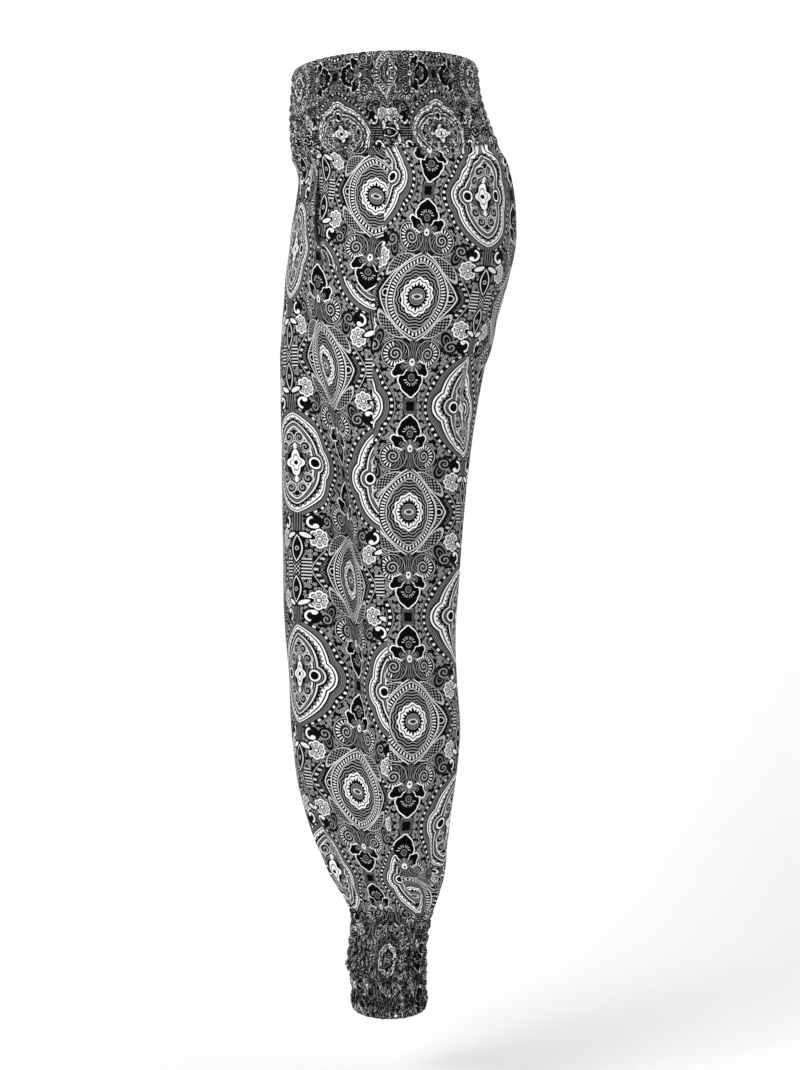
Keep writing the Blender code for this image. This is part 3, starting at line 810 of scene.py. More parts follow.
# %% [markdown]
# ## Cuffs
#
# A cuff is the shirred lower end of the leg. Six rows of elastic draw it in. The
# fifth is the sewn line that sets off a short band above the hem. Just above it
# the gathers puff out, and below it they start again. The cloth is drawn in so
# tightly that the print breaks up, and only one ring in the middle stays whole.

# %% cuffs
CUFF_GRID = 72  # rows
# openness only sets how narrow the painted shade of the valleys is
CUFF_OPENNESS = 1.0
TUCK_DEPTH, TUCK_WIDTH, PUFF, HEM_WAVE = 1.7, 2.4, 1.3, 0.25  # mm
PUFF_ABOVE, PUFF_WIDTH = 9, 7  # mm, how far above the sewn line it is, and how wide
CUFF_TOP_FULLNESS = 1.15  # at the cuff's seam, where the gathers have hardly begun
RING_UNITS = 60.0  # print units from the cuff's seam down to the middle of its one ring
RING_WHOLE, RING_BROKEN = 17, 34  # print units from that middle
LEAST_BROKEN, MORE_BROKEN = 1.5, 3.0  # units that the print strays in the ring, and more outside it
CUFF_CENTRES = {"front": (0.0, 1.0), "back": (40.0, 60.0)}  # angle of the column, top and low


def cuff_lift(drop, arc, seed):
    above = (drop - CUFF_SEAM) / (CUFF_TUCK - CUFF_SEAM) * CUFF_SPACES_ABOVE
    below = CUFF_SPACES_ABOVE + (drop - CUFF_TUCK) / (HEM - CUFF_TUCK) * CUFF_SPACES_BELOW
    row_share = np.where(drop < CUFF_TUCK, above, below)
    lift, ahead, tucked = shirring(arc, drop, row_share, CUFF_PITCH, CUFF_GATHER, CUFF_OPENNESS, seed)
    seam = np.minimum(arc, arc[:, -1:] - arc)
    lift *= (0.4 + 0.6 * soft_step(seam, 0, 4)) * (1 - 0.6 * soft_step(drop, HEM - 7, HEM))
    from_tuck = drop - CUFF_TUCK
    lift -= TUCK_DEPTH * np.exp(-(from_tuck / TUCK_WIDTH) ** 2)
    lift += PUFF * np.exp(-((from_tuck + PUFF_ABOVE) / PUFF_WIDTH) ** 2)
    # the painted shade of the valleys fades out towards the cuff's seam
    tucked = tucked * (0.15 + 0.85 * soft_step(drop, CUFF_SEAM, CUFF_SEAM + 26))
    return lift, ahead * CUFF_HIDDEN + 0.5 * wander(seed + 5, arc, drop * 0.8, size=9), tucked


def cuff(sign, kind, side, word):
    drops = np.linspace(CUFF_SEAM, HEM, CUFF_GRID + 1)
    count = BAND_COLUMNS_PER_GATHER * round(CUFF_HALF_ROUND / CUFF_PITCH)
    shares = np.linspace(0, 1, count + 1)
    seam, inseam = seam_angle(drops, sign)[:, None], (sign * inner_limit(drops))[:, None]
    drop, angle = np.repeat(drops[:, None], count + 1, 1), seam + (inseam - seam) * shares
    arc = arc_from_start(drop, angle)
    lift, ahead, tucked = cuff_lift(drop, arc, 70 + sign * 3 + side)
    share = (drop - CUFF_SEAM) / (HEM - CUFF_SEAM)
    top, low = CUFF_CENTRES[kind]
    centre = top + (low - top) * share
    fullness = CUFF_TOP_FULLNESS + (CUFF_FULLNESS - CUFF_TOP_FULLNESS) * soft_step(share, 0, 0.5)
    flat = np.radians(angle - centre) * radius_at(drop) - sign * ahead
    top_row = np.interp(CUFF_SEAM, *(FRONT_ROWS if kind == "front" else BACK_ROWS).T)
    across, down = flat * fullness / PRINT_UNIT, (drop - CUFF_SEAM) / CUFF_ROW_LENGTH
    away = soft_step(np.hypot(across, down - RING_UNITS), RING_WHOLE, RING_BROKEN)
    away = away * soft_step(drop, CUFF_SEAM + 4, CUFF_SEAM + 30)
    broken = LEAST_BROKEN + MORE_BROKEN * away
    place = (HALF_WIDE + across + MORE_BROKEN * away * wander(84 + side, arc, drop * 0.7, size=7),
             top_row + down + broken * wander(80 + side, arc, drop * 0.5, size=8))
    outer = ring_points(drop, angle, lift)
    waves = np.pi * arc / CUFF_PITCH + 2 * wander(95, arc, size=30)
    hem_wave = HEM_WAVE * soft_step(drop, HEM - 4, HEM) * np.cos(waves)
    outer[..., 2] += hem_wave
    inner = ring_points(drop[::2, ::2], angle[::2, ::2], inside_of(lift))
    inner[..., 2] += hem_wave[::2, ::2]
    node = f"cuff_{kind}_{word}"
    BAND_LINES[node] = ring_points(drop, angle, lift + THREAD_PROUD)
    cloth_piece(node, outer, inner, place, side, tucked)


for side, word in SIDES:
    for sign, kind in ((-1, "front"), (1, "back")):
        cuff(sign, kind, side, word)
print("triangles in all:", sum(len(p.data.loops) - 2 * len(p.data.polygons) for p in PIECES.values()))

# %% [markdown]
# ## One way to add a node
#
# Materials and the stitches are both trees of nodes. Written out in full, a
# node takes several lines. This one function adds a node, sets its properties,
# and fills or links its inputs, so a tree reads from top to bottom like a list.

# %% add, linear and COLOURS
COLOURS = {
    "printed black": "#060606",
    "undyed viscose": "#EEEEED",
    "wrong side": "#8C8B89",
    "elastic thread": "#2A2826",
    "backdrop": "#FBFBFB",
}


def linear(hex_colour):
    """An sRGB hex colour as the linear colour that shaders work with."""
    parts = [int(hex_colour[i:i + 2], 16) / 255 for i in (1, 3, 5)]
    return tuple(c / 12.92 if c <= 0.04045 else ((c + 0.055) / 1.055) ** 2.4 for c in parts) + (1.0,)


def add(tree, kind, inputs=None, **settings):
    """One node with its settings. Inputs are numbers, colours or the outputs of other nodes."""
    node = tree.nodes.new(kind)
    for name, value in settings.items():
        setattr(node, name, value)
    for name, value in (inputs or {}).items():
        if isinstance(value, bpy.types.NodeSocket):
            tree.links.new(value, node.inputs[name])
        else:
            node.inputs[name].default_value = value
    return node


print("colours:", ", ".join(COLOURS))

# %% [markdown]
# ## The print, written as formulas
#
# The cloth has a traditional block-print look: round medallions, scalloped
# diamonds and tulips between them, in black and white with fine grey work. A
# picture of it would blur close up. Formulas stay sharp at every distance.
#
# Each line below is a formula in the print's own units. The first two fold the
# plane, as a paper snowflake is folded, so one quarter of a motif gives all of
# it. "ink" is the brightness so far: mix(where, ink, new) lays a new tone over
# it. lt and gt are 1 where the first value is the lesser or greater one, and
# band is 1 between two values.

# %% PRINT_STEPS
PRINT_STEPS = """
x = pingpong(u, 68)
y = pingpong(v, 109)
xd = 68 - x
yb = 109 - y
# the ground: fine curls and pips
ink = max(lt(d, 0.5), 0.6 * lt(abs(d - 1.5), 0.3))

# the beaded diamond: fine lines and dots far out, a pod on each slope, a curved outline
turnB = atan2(yb, xd)
farB = length(xd, yb)
edgeB = pow(pow(xd / 44, 1.3) + pow(yb / 48, 1.3), 0.769)
ink = mix(lt(edgeB, 1.26), ink, 0.05)
ink = mix(band(edgeB, 1.225, 1.245), ink, 0.7)
ink = mix(band(edgeB, 1.12, 1.2) * gt(cos(52 * turnB), 0.3), ink, 0.8)
ink = mix(band(edgeB, 1.03, 1.1), ink, 0.2 + 0.4 * sin(2.2 * xd) * sin(2.2 * yb))
along = 0.6 * (yb - 32) - 0.8 * (xd - 26)
across = 0.6 * (xd - 26) + 0.8 * (yb - 32) + 0.012 * along * along
pod = length(along / 19, across / 5.6)
ink = mix(lt(pod, 1.2), ink, 0.03)
ink = mix(lt(pod, 1.04), ink, 0.75)
ink = mix(lt(pod, 0.88), ink, 0.06 + 0.55 * gt(cos(1.5 * along) * cos(1.7 * across), 0.25))
ink = mix(lt(edgeB, 0.955), ink, 0.9)
ink = mix(lt(edgeB, 0.925), ink, 0.02)
heart = length(xd - 35.2, yb)
ink = mix(band(edgeB, 0, 0.9), ink, 0.02 + 0.75 * gt(cos(2.2 * heart + 2.4 * cos(15 * turnB)), 0.7))
ink = mix(lt(heart, 3.8), ink, 0.85)
ink = mix(lt(heart, 2.7), ink, 0.02)
# in it a pointed ring of beads, ripples, and a scalloped eye
ringB = pow(xd / 30, 1.25) + pow(yb / 39, 2.1)
ink = mix(lt(ringB, 1.16), ink, 0.85)
ink = mix(lt(ringB, 1.1), ink, 0.02)
ink = mix(band(ringB, 0.86, 1.04) * gt(cos(58 * turnB), 0.2), ink, 0.95)
ink = mix(lt(ringB, 0.82), ink, 0.75)
ink = mix(lt(ringB, 0.77), ink, 0.03 + 0.5 * gt(cos(2.0 * farB + 1.6 * cos(12 * turnB)), 0.35))
eyeB = farB / (1 + 0.05 * cos(12 * turnB) + 0.12 * pow(sin(turnB), 10))
ink = mix(lt(eyeB, 18.4), ink, 0.03)
ink = mix(lt(eyeB, 17.4), ink, 1)
ink = mix(band(eyeB, 14.2, 15.4), ink, 0.03)
ink = mix(lt(eyeB, 11.6 + 1.4 * cos(20 * turnB)), ink, 0.02)
ink = mix(lt(farB, 9.0), ink, 0.3 + 0.28 * cos(3.2 * farB))
lens = length(xd / 6.0, yb / 2.9)
ink = mix(lt(lens, 1.0), ink, 0.8)
ink = mix(lt(lens, 0.6), ink, 0.15)

# snail curls over the diamond, and the neck between them
farS = length(xd - 18, y - 51.5)
turnS = atan2(y - 51.5, xd - 18)
ink = mix(lt(farS, 15.0), ink, 0.06)
ink = mix(band(farS, 13.3, 14.0), ink, 0.75)
ink = mix(band(farS, 7.6, 12.0) * gt(cos(20 * turnS), 0.25) * gt(xd - 0.6 * y, -17), ink, 0.95)
ink = mix(band(farS, 7.6, 12.0) * gt(cos(11 * turnS + 2.2 * farS), 0.5) * lt(xd - 0.6 * y, -17), ink, 0.5)
ink = mix(lt(farS, 6.9), ink, 0.1 + 0.6 * gt(sin(1.75 * farS - turnS), 0.5))
neck = xd - 0.026 * (y - 56) * (y - 56)
ink = mix(lt(neck, 3.4) * band(y, 44, 65), ink, 0.04 + 0.4 * gt(cos(2.9 * neck), 0.35))

# the dark flower: its body, its two wings and its foot
turnT = atan2(26 - y, xd)
farT = length(xd, y - 26) / (13.0 + 1.3 * abs(cos(3.5 * turnT)) + 3.8 * pow(max(sin(turnT), 0), 14))
ink = mix(lt(farT, 1.03), ink, 1)
ink = mix(lt(farT, 0.94), ink, 0.012)
heartT = length(xd, y - 28.5)
ink = mix(band(heartT, 5.6, 8.6) * gt(cos(15 * turnT), 0.62) * lt(y, 26.5), ink, 0.9)
ink = mix(band(heartT, 2.4, 3.7), ink, 0.42)
ink = mix(lt(heartT, 1.3), ink, 0.3)
wide = 0.80 * (xd - 12.6) - 0.60 * (y - 36.5)
deep = 0.60 * (xd - 12.6) + 0.80 * (y - 36.5)
wing = length(wide / 10.2, deep / (6.4 + 0.8 * cos(0.75 * wide) - 0.12 * wide))
ink = mix(lt(wing, 1.0), ink, 1)
ink = mix(lt(wing, 0.85), ink, 0.012)
ink = mix(lt(length(wide + 5.6, deep * 1.5), 4.4), ink, 0.25 + 0.25 * cos(2.6 * wide))
footT = length(xd, y - 43)
ink = mix(lt(footT, 8.6) * lt(y, 44.5), ink, 0.2 + 0.3 * gt(cos(13 * atan2(y - 43, xd)), 0.1))
ink = mix(lt(length(xd / 3.0, (y - 43.5) / 3.9), 1.0), ink, 0.95)
ink = mix(lt(length(xd, y - 44), 1.3), ink, 0.1)

# the small dark diamond between two flowers
ink = mix(lt(xd + y, 12.5) * lt(max(xd, y), 8.2), ink, 0.04 + 0.4 * gt(cos(2.6 * (xd - y)), 0.3))
ink = mix(lt(length(xd, y) + 0.35 * abs(xd - y), 6.2), ink, 0.012)

# the medallion: a pointed body with a round lobe on each side, and bands that follow it
turn = atan2(y, x)
far = length(x, y)
edge = min(25 * (pow(x / 33, 1.4) + pow(y / 51, 2.6)) - 25, length(x - 19.6, y) - 19.6)
beads = cos(46 * turn)
ink = mix(lt(edge, 13.2), ink, 0.05)
ink = mix(band(edge, 12.0, 12.7), ink, 0.6)
ink = mix(band(edge, 7.8, 10.6) * gt(beads, 0.3), ink, 0.95)
ink = mix(band(edge, 5.6, 6.3), ink, 0.5)
ink = mix(band(edge, 1.6, 5.0), ink, 0.28 + 0.26 * cos(4.0 * edge))
ink = mix(lt(edge, 0.8), ink, 0.02)
ink = mix(lt(edge, 0), ink, 1)
ink = mix(band(edge, -2.9, -1.6), ink, 0.012)
ink = mix(band(edge, -9.8, -5.3 + 1.2 * beads), ink, 0.05 + 0.45 * gt(beads, 0.5) * gt(edge, -7.6))
ink = mix(lt(edge, -9.4), ink, 0.9)
ink = mix(lt(edge, -10.7), ink, 0.22 + 0.3 * cos(3.6 * edge))
ink = mix(lt(edge, -13.6), ink, 0.9)
# inside the band: curls on a dark ground, round a white flower
ink = mix(lt(edge, -14.9), ink, 0.05 + 0.6 * gt(cos(2.1 * far + 2.4 * cos(10 * turn)), 0.4))
upper = length(x - 6.4, y - 25.5)
ink = mix(lt(upper, 5.9), ink, 0.85)
ink = mix(lt(upper, 5.0), ink, 0.05 + 0.55 * gt(sin(1.7 * upper - atan2(y - 25.5, x - 6.4)), 0.3))
lower = length(x - 12.5, y - 16)
ink = mix(lt(lower, 5.9), ink, 0.85)
ink = mix(lt(lower, 5.0), ink, 0.05 + 0.55 * gt(sin(1.7 * lower - atan2(y - 16, x - 12.5)), 0.3))
swirl = sin(1.9 * far + 3.0 * sin(8 * turn))
ink = mix(lt(far, 15.5 - 2.2 * cos(8 * turn)), ink, 0.12 + 0.3 * gt(swirl, 0.1))
ink = mix(lt(length(x * 1.25, y), 13.6), ink, 0.02)
petals = far / (0.92 + 0.18 * cos(4 * turn) + 0.3 * pow(abs(sin(turn)), 8))
ink = mix(lt(petals, 9.6), ink, 1)
ink = mix(band(petals, 5.2, 6.4), ink, 0.4)
ink = mix(lt(far, 2.3), ink, 0)
ink = mix(lt(length(x * 1.7, y - 17), 3.4), ink, 0.95)
ink = mix(lt(length(x, y - 31.5), 2.4), ink, 0)
eye = length(x - 20, y * 0.9)
ink = mix(lt(eye, 6.6), ink, 0.04)
ink = mix(lt(eye, 5.4), ink, 1)
ink = mix(lt(eye, 3.8), ink, 0)

# under the medallion: a dark leaf with a curl, a white curl and a white flower
ink = mix(lt(x + 0.02 * (y - 62) * (y - 62), 6.2) * gt(y, 51), ink, 0.04 + 0.45 * gt(cos(2.3 * x), 0.45))
leaf = length(x - 32, (y - 66) * 0.62 - 0.35 * (x - 32))
ink = mix(lt(leaf, 6.2), ink, 0.02 + 0.4 * gt(cos(2.2 * leaf), 0.5))
curl = length(x - 28, y - 59)
ink = mix(lt(curl, 6.6), ink, 0.05 + 0.5 * gt(sin(1.7 * curl - atan2(y - 59, x - 28)), 0.35))
hook = length(x - 15.5, y - 61)
ink = mix(lt(hook, 8.2), ink, 0.03)
ink = mix(band(hook, 4.0, 6.2) * lt(x - 0.5 * (y - 61), 17.5), ink, 1)
ink = mix(lt(length(x - 17.5, y - 65), 2.5), ink, 1)
wavy = abs(cos(4 * atan2(y - 77.5, x - 20)))
bloom = length((x - 20) * 1.12, y - 77.5)
ink = mix(lt(bloom, 9.6 + 1.7 * wavy), ink, 0.02)
ink = mix(lt(bloom, 8.5 + 1.7 * wavy), ink, 0.95)
ink = mix(band(bloom, 3.6, 6.4 + 1.7 * wavy) * gt(wavy, 0.38), ink, 0.08)
ink = mix(band(bloom, 4.6, 5.6 + 1.5 * wavy) * gt(wavy, 0.6), ink, 0.7)
ink = mix(band(bloom, 1.7, 2.9), ink, 0.1)

# the ladder between two diamonds, with an almond
ink = mix(lt(x, 14) * lt(yb, 11), ink, 0.85 * gt(cos(1.9 * yb), 0.3))
ink = mix(lt(x, 5.2) * lt(yb, 11), ink, 0.02)
ink = mix(lt(x, 4.0) * lt(yb, 10), ink, 0.9 * gt(cos(1.6 * x) * cos(1.4 * yb), 0.25))
almond = x / 6.2 + (yb - 21) * (yb - 21) / 210
ink = mix(lt(almond, 1.35) * lt(x, 9), ink, 0.03)
ink = mix(lt(almond, 0.95), ink, 0.95)
ink = mix(lt(almond, 0.76), ink, 0.03)
ink = mix(band(length(x, yb - 21), 1.2, 2.3), ink, 0.7)
petal = length((x - 8) * 0.42, y - 74.5 - 0.3 * (x - 8))
ink = mix(lt(petal, 3.7), ink, 0.02)
ink = mix(lt(petal, 2.4), ink, 0.95)
"""
print("print formulas:", len(ast.parse(PRINT_STEPS).body))

# %% [markdown]
# ## From formulas to nodes
#
# Python's own ast module splits a formula into its terms, and each term becomes
# one node of a group. Wiring several hundred nodes by hand would work too, but
# nobody could read it. The group is made once, and every printed material uses
# it.

# %% group "black and white print"
OPERATIONS = {
    "pingpong": "PINGPONG", "lt": "LESS_THAN", "gt": "GREATER_THAN", "abs": "ABSOLUTE",
    "sin": "SINE", "cos": "COSINE", "atan2": "ARCTAN2", "max": "MAXIMUM", "min": "MINIMUM", "pow": "POWER",
    ast.Add: "ADD", ast.Sub: "SUBTRACT", ast.Mult: "MULTIPLY", ast.Div: "DIVIDE",
}
CURL_CELL = 4.0  # print units, about 4 mm: the size of the curls that fill the ground
TONE_CURVE = 1.85  # fine grey work prints darker than its share of white


def term_nodes(tree, term, known):
    """Nodes for one term of a formula. Gives back its output, or a plain number."""
    if isinstance(term, ast.Constant):
        return float(term.value)
    if isinstance(term, ast.Name):
        return known[term.id]
    if isinstance(term, ast.UnaryOp):
        return -term_nodes(tree, term.operand, known)
    if isinstance(term, ast.BinOp):
        word, parts = type(term.op), (term.left, term.right)
    else:
        word, parts = term.func.id, term.args
    values = [term_nodes(tree, part, known) for part in parts]
    if word == "mix":
        return add(tree, "ShaderNodeMix", dict(zip((0, 2, 3), values))).outputs[0]
    if word == "length":
        pair = add(tree, "ShaderNodeCombineXYZ", dict(enumerate(values)))
        return add(tree, "ShaderNodeVectorMath", {0: pair.outputs[0]}, operation="LENGTH").outputs["Value"]
    if word == "band" and isinstance(values[1], float) and isinstance(values[2], float):
        middle, reach = (values[1] + values[2]) / 2, (values[2] - values[1]) / 2
        return add(tree, "ShaderNodeMath", {0: values[0], 1: middle, 2: reach},
                   operation="COMPARE").outputs[0]
    if word == "band":
        above = add(tree, "ShaderNodeMath", {0: values[0], 1: values[1]}, operation="GREATER_THAN")
        below = add(tree, "ShaderNodeMath", {0: values[0], 1: values[2]}, operation="LESS_THAN")
        return add(tree, "ShaderNodeMath", {0: above.outputs[0], 1: below.outputs[0]},
                   operation="MULTIPLY").outputs[0]
    return add(tree, "ShaderNodeMath", dict(enumerate(values)), operation=OPERATIONS[word]).outputs[0]


def print_group():
    group = bpy.data.node_groups.new("black and white print", "ShaderNodeTree")
    group.interface.new_socket("Ink", in_out="OUTPUT", socket_type="NodeSocketFloat")
    place = add(group, "ShaderNodeUVMap", uv_map="print")
    units = add(group, "ShaderNodeVectorMath",
                {0: place.outputs[0], 1: (1 / (PRINT_UNIT * MM),) * 3}, operation="MULTIPLY")
    split = add(group, "ShaderNodeSeparateXYZ", {0: units.outputs[0]})
    known = {"u": split.outputs[0], "v": split.outputs[1]}
    for step in ast.parse(PRINT_STEPS).body:
        if "d" not in known and step.targets[0].id == "ink":
            folded = add(group, "ShaderNodeCombineXYZ", {0: known["x"], 1: known["y"]})
            curls = add(group, "ShaderNodeTexVoronoi",
                        {"Vector": folded.outputs[0], "Scale": 1 / CURL_CELL}, voronoi_dimensions="2D")
            known["d"] = add(group, "ShaderNodeMath", {0: curls.outputs["Distance"], 1: CURL_CELL},
                             operation="MULTIPLY").outputs[0]
        known[step.targets[0].id] = term_nodes(group, step.value, known)
    tone = add(group, "ShaderNodeMath", {0: known["ink"], 1: TONE_CURVE}, operation="POWER", use_clamp=True)
    add(group, "NodeGroupOutput", {0: tone.outputs[0]})
    return group


PRINT = print_group()
print("nodes in the print:", len(PRINT.nodes))

# %% [markdown]
# ## Printed viscose
#
# Viscose challis is a light plain weave of spun threads, soft and nearly matt.
# To the eye that means a broad weak sheen and no sharp highlight. The print is
# black on undyed cloth and shows greyed on the wrong side. A plain weave of
# about 30 threads to the centimetre can't show at this distance, so the weave
# is drawn four times as coarse. The shirred bands get a stronger crinkle. Their
# colour also carries painted shade: darker valleys between the gathers, and dark
# lines where the cloth is drawn up into puckers too small to model.

# %% colour of worn cloth, with painted shade
PATCH_SCALE = 60.0  # faint lighter and darker patches, about 17 mm across


def cloth_colour_with_painted_shade(tree, ink, place, creases, pucker_shade):
    """The printed colour as worn cloth shows it: patchy, with painted shade where it is drawn in."""
    uneven = add(tree, "ShaderNodeTexNoise", {"Vector": place, "Scale": PATCH_SCALE, "Detail": 3.0})
    shade = add(tree, "ShaderNodeMapRange", {0: uneven.outputs["Fac"], 1: 0.3, 2: 0.7, 3: 0.93, 4: 1.03})
    # painted shade: the colour darkens to 0.16 in the valleys between gathers, as little light gets into
    # them
    valley = add(tree, "ShaderNodeAttribute", attribute_name="tucked")
    deep = add(tree, "ShaderNodeMapRange", {0: valley.outputs["Fac"], 1: 0.15, 2: 0.95, 3: 1.0, 4: 0.16})
    # painted shade in puckers too fine to model, where the cloth is drawn in: dark lines along a noise's
    # middle value
    middle = add(tree, "ShaderNodeMath", {0: creases, 1: 0.5}, operation="SUBTRACT")
    beside = add(tree, "ShaderNodeMath", {0: middle.outputs[0]}, operation="ABSOLUTE")
    line = add(tree, "ShaderNodeMapRange", {
        0: beside.outputs[0], 1: 0.01, 2: 0.06, 3: pucker_shade, 4: 0.0})
    drawn_in = add(tree, "ShaderNodeMapRange", {0: valley.outputs["Fac"], 1: 0.0, 2: 0.25})
    dark = add(tree, "ShaderNodeMath", {0: line.outputs[0], 1: drawn_in.outputs[0]}, operation="MULTIPLY")
    pucker = add(tree, "ShaderNodeMath", {0: 1.0, 1: dark.outputs[0]}, operation="SUBTRACT")
    folded = add(tree, "ShaderNodeMath", {0: deep.outputs[0], 1: pucker.outputs[0]}, operation="MULTIPLY")
    lit = add(tree, "ShaderNodeMath", {0: folded.outputs[0], 1: shade.outputs[0]}, operation="MULTIPLY")
    tone = add(tree, "ShaderNodeMath", {0: ink, 1: lit.outputs[0]}, operation="MULTIPLY")
    colour = add(tree, "ShaderNodeMix", {0: tone.outputs[0], 6: linear(COLOURS["printed black"]),
                                         7: linear(COLOURS["undyed viscose"])}, data_type="RGBA")
    # the wrong side is halfway to its own grey, as the print only half shows through
    reverse = add(tree, "ShaderNodeAttribute", attribute_name="wrong_side")
    faded = add(tree, "ShaderNodeMath", {0: reverse.outputs["Fac"], 1: 0.5}, operation="MULTIPLY")
    cloth = add(tree, "ShaderNodeMix", {0: faded.outputs[0], 6: colour.outputs[2],
                                        7: linear(COLOURS["wrong side"])}, data_type="RGBA")
    return cloth.outputs[2]


print("colours of the cloth:", COLOURS["printed black"], "on", COLOURS["undyed viscose"])

# %% cloth materials
THREAD_SPACING = 0.33  # mm
DRAWN_SPACING = 4 * THREAD_SPACING  # drawn coarser than the real weave, so that it shows
WEAVE_DEPTH = 0.10  # mm


def printed_viscose(name, crinkle_depth, crinkle_size, pucker_shade=0.0):
    """Depth and size in mm. pucker_shade is how dark the painted shade in the puckers is, from 0 to 1."""
    material = bpy.data.materials.new(name)
    material.use_nodes = True
    tree = material.node_tree
    tree.nodes.clear()
    ink = add(tree, "ShaderNodeGroup", node_tree=PRINT)
    body = add(tree, "ShaderNodeTexCoord")
    creases = add(tree, "ShaderNodeTexNoise", {
        "Vector": body.outputs["Object"], "Scale": 1 / (crinkle_size * MM), "Detail": 2.0})
    colour = cloth_colour_with_painted_shade(
        tree, ink.outputs[0], body.outputs["Object"], creases.outputs["Fac"], pucker_shade)
    # plain weave: threads over and under, as two crossed waves along the flat cloth
    place = add(tree, "ShaderNodeUVMap", uv_map="print")
    per_metre = math.pi / (DRAWN_SPACING * MM)
    turns = add(tree, "ShaderNodeVectorMath", {0: place.outputs[0], 1: (per_metre,) * 3},
                operation="MULTIPLY")
    waves = add(tree, "ShaderNodeVectorMath", {0: turns.outputs[0]}, operation="SINE")
    warp = add(tree, "ShaderNodeSeparateXYZ", {0: waves.outputs[0]})
    weave = add(tree, "ShaderNodeMath", {0: warp.outputs[0], 1: warp.outputs[1]}, operation="MULTIPLY")
    woven = add(tree, "ShaderNodeBump", {
        "Strength": 0.6, "Distance": WEAVE_DEPTH * MM, "Height": weave.outputs[0]})
    crinkled = add(tree, "ShaderNodeBump", {
        "Strength": 1.0, "Distance": crinkle_depth * MM,
        "Height": creases.outputs["Fac"], "Normal": woven.outputs[0]})
    # the black ink binds the fibres a little, so it is slightly smoother than bare cloth
    rough = add(tree, "ShaderNodeMapRange", {0: ink.outputs[0], 1: 0.0, 2: 1.0, 3: 0.74, 4: 0.84})
    surface = add(tree, "ShaderNodeBsdfPrincipled", {
        "Base Color": colour, "Roughness": rough.outputs[0], "Normal": crinkled.outputs[0],
        "IOR": 1.53, "Specular IOR Level": 0.02, "Sheen Weight": 0.005, "Sheen Roughness": 0.4})
    add(tree, "ShaderNodeOutputMaterial", {0: surface.outputs[0]})
    return material


# One cloth in four states. It hangs in soft large crinkles, lies flatter in the facing, and is finely
# crinkled where it is shirred, most of all in the cuffs.
# The last number is how dark the painted shade in the puckers is, most in the cuffs.
LEG_CLOTH = printed_viscose("printed viscose challis, hanging", 0.7, 9.0)
POCKET_CLOTH = printed_viscose("printed viscose challis, pocket facing", 0.4, 9.0)
SHIRRED_CLOTH = printed_viscose("printed viscose challis, shirred", 0.9, 4.0, 0.1)
CUFF_CLOTH = printed_viscose("printed viscose challis, tightly shirred", 0.9, 4.2, 0.95)
print("cloth materials:", LEG_CLOTH.name, "/", SHIRRED_CLOTH.name)

# %% [markdown]
# ## Elastic and sewing thread
#
# Covered elastic and sewing thread have a twist that breaks up their shine, so
# a thread looks satin, not glossy. The twist is finer than the render shows and
# is drawn as a fine wave bump.

# %% thread material
TWIST_SCALE, TWIST_DEPTH = 700.0, 0.05  # Blender's scale for waves 0.9 mm long, and mm


def thread_material(name):
    material = bpy.data.materials.new(name)
    material.use_nodes = True
    tree = material.node_tree
    tree.nodes.clear()
    body = add(tree, "ShaderNodeTexCoord")
    twist = add(tree, "ShaderNodeTexWave", {"Vector": body.outputs["Object"], "Scale": TWIST_SCALE},
                bands_direction="DIAGONAL")
    ridges = add(tree, "ShaderNodeBump", {
        "Strength": 0.4, "Distance": TWIST_DEPTH * MM, "Height": twist.outputs["Fac"]})
    # painted shade and highlight along the twist: darker in its grooves, lighter on its ridges
    tint = add(tree, "ShaderNodeMapRange", {0: twist.outputs["Fac"], 3: 0.8, 4: 1.15})
    colour = add(tree, "ShaderNodeMix", {0: 1.0, 6: linear(COLOURS["elastic thread"]), 7: tint.outputs[0]},
                 data_type="RGBA", blend_type="MULTIPLY")
    surface = add(tree, "ShaderNodeBsdfPrincipled", {
        "Base Color": colour.outputs[2], "Roughness": 0.55, "Normal": ridges.outputs[0],
        "Specular IOR Level": 0.4})
    add(tree, "ShaderNodeOutputMaterial", {0: surface.outputs[0]})
    return material


THREAD = thread_material("covered elastic thread, dark")
MATERIALS = {"leg": LEG_CLOTH, "waistband": SHIRRED_CLOTH, "cuff": CUFF_CLOTH, "pocket": POCKET_CLOTH}
for node, piece in PIECES.items():
    piece.data.materials.append(MATERIALS[node.split("_")[0]])
print("pieces with cloth on them:", len(PIECES))

# %% [markdown]
# ## Rows of stitching
#
# Rows of small stitches show where the elastic is sewn and where the pocket
# edge is held down. They repeat along a path, which is what Geometry Nodes do
# well: a thin line follows the cloth, points are spaced along it, and a small
# bead stands at each, turned along the line. The same tree serves every row.

# %% stitch tree
STITCH_PITCH, STITCH_LONG, STITCH_THICK = 3.0, 1.9, 0.5  # mm
POCKET_PITCH, POCKET_LONG = 2.6, 1.7  # mm, a finer stitch
STITCH_LINE_POINTS = 120  # enough for a smooth curve along the pocket mouth


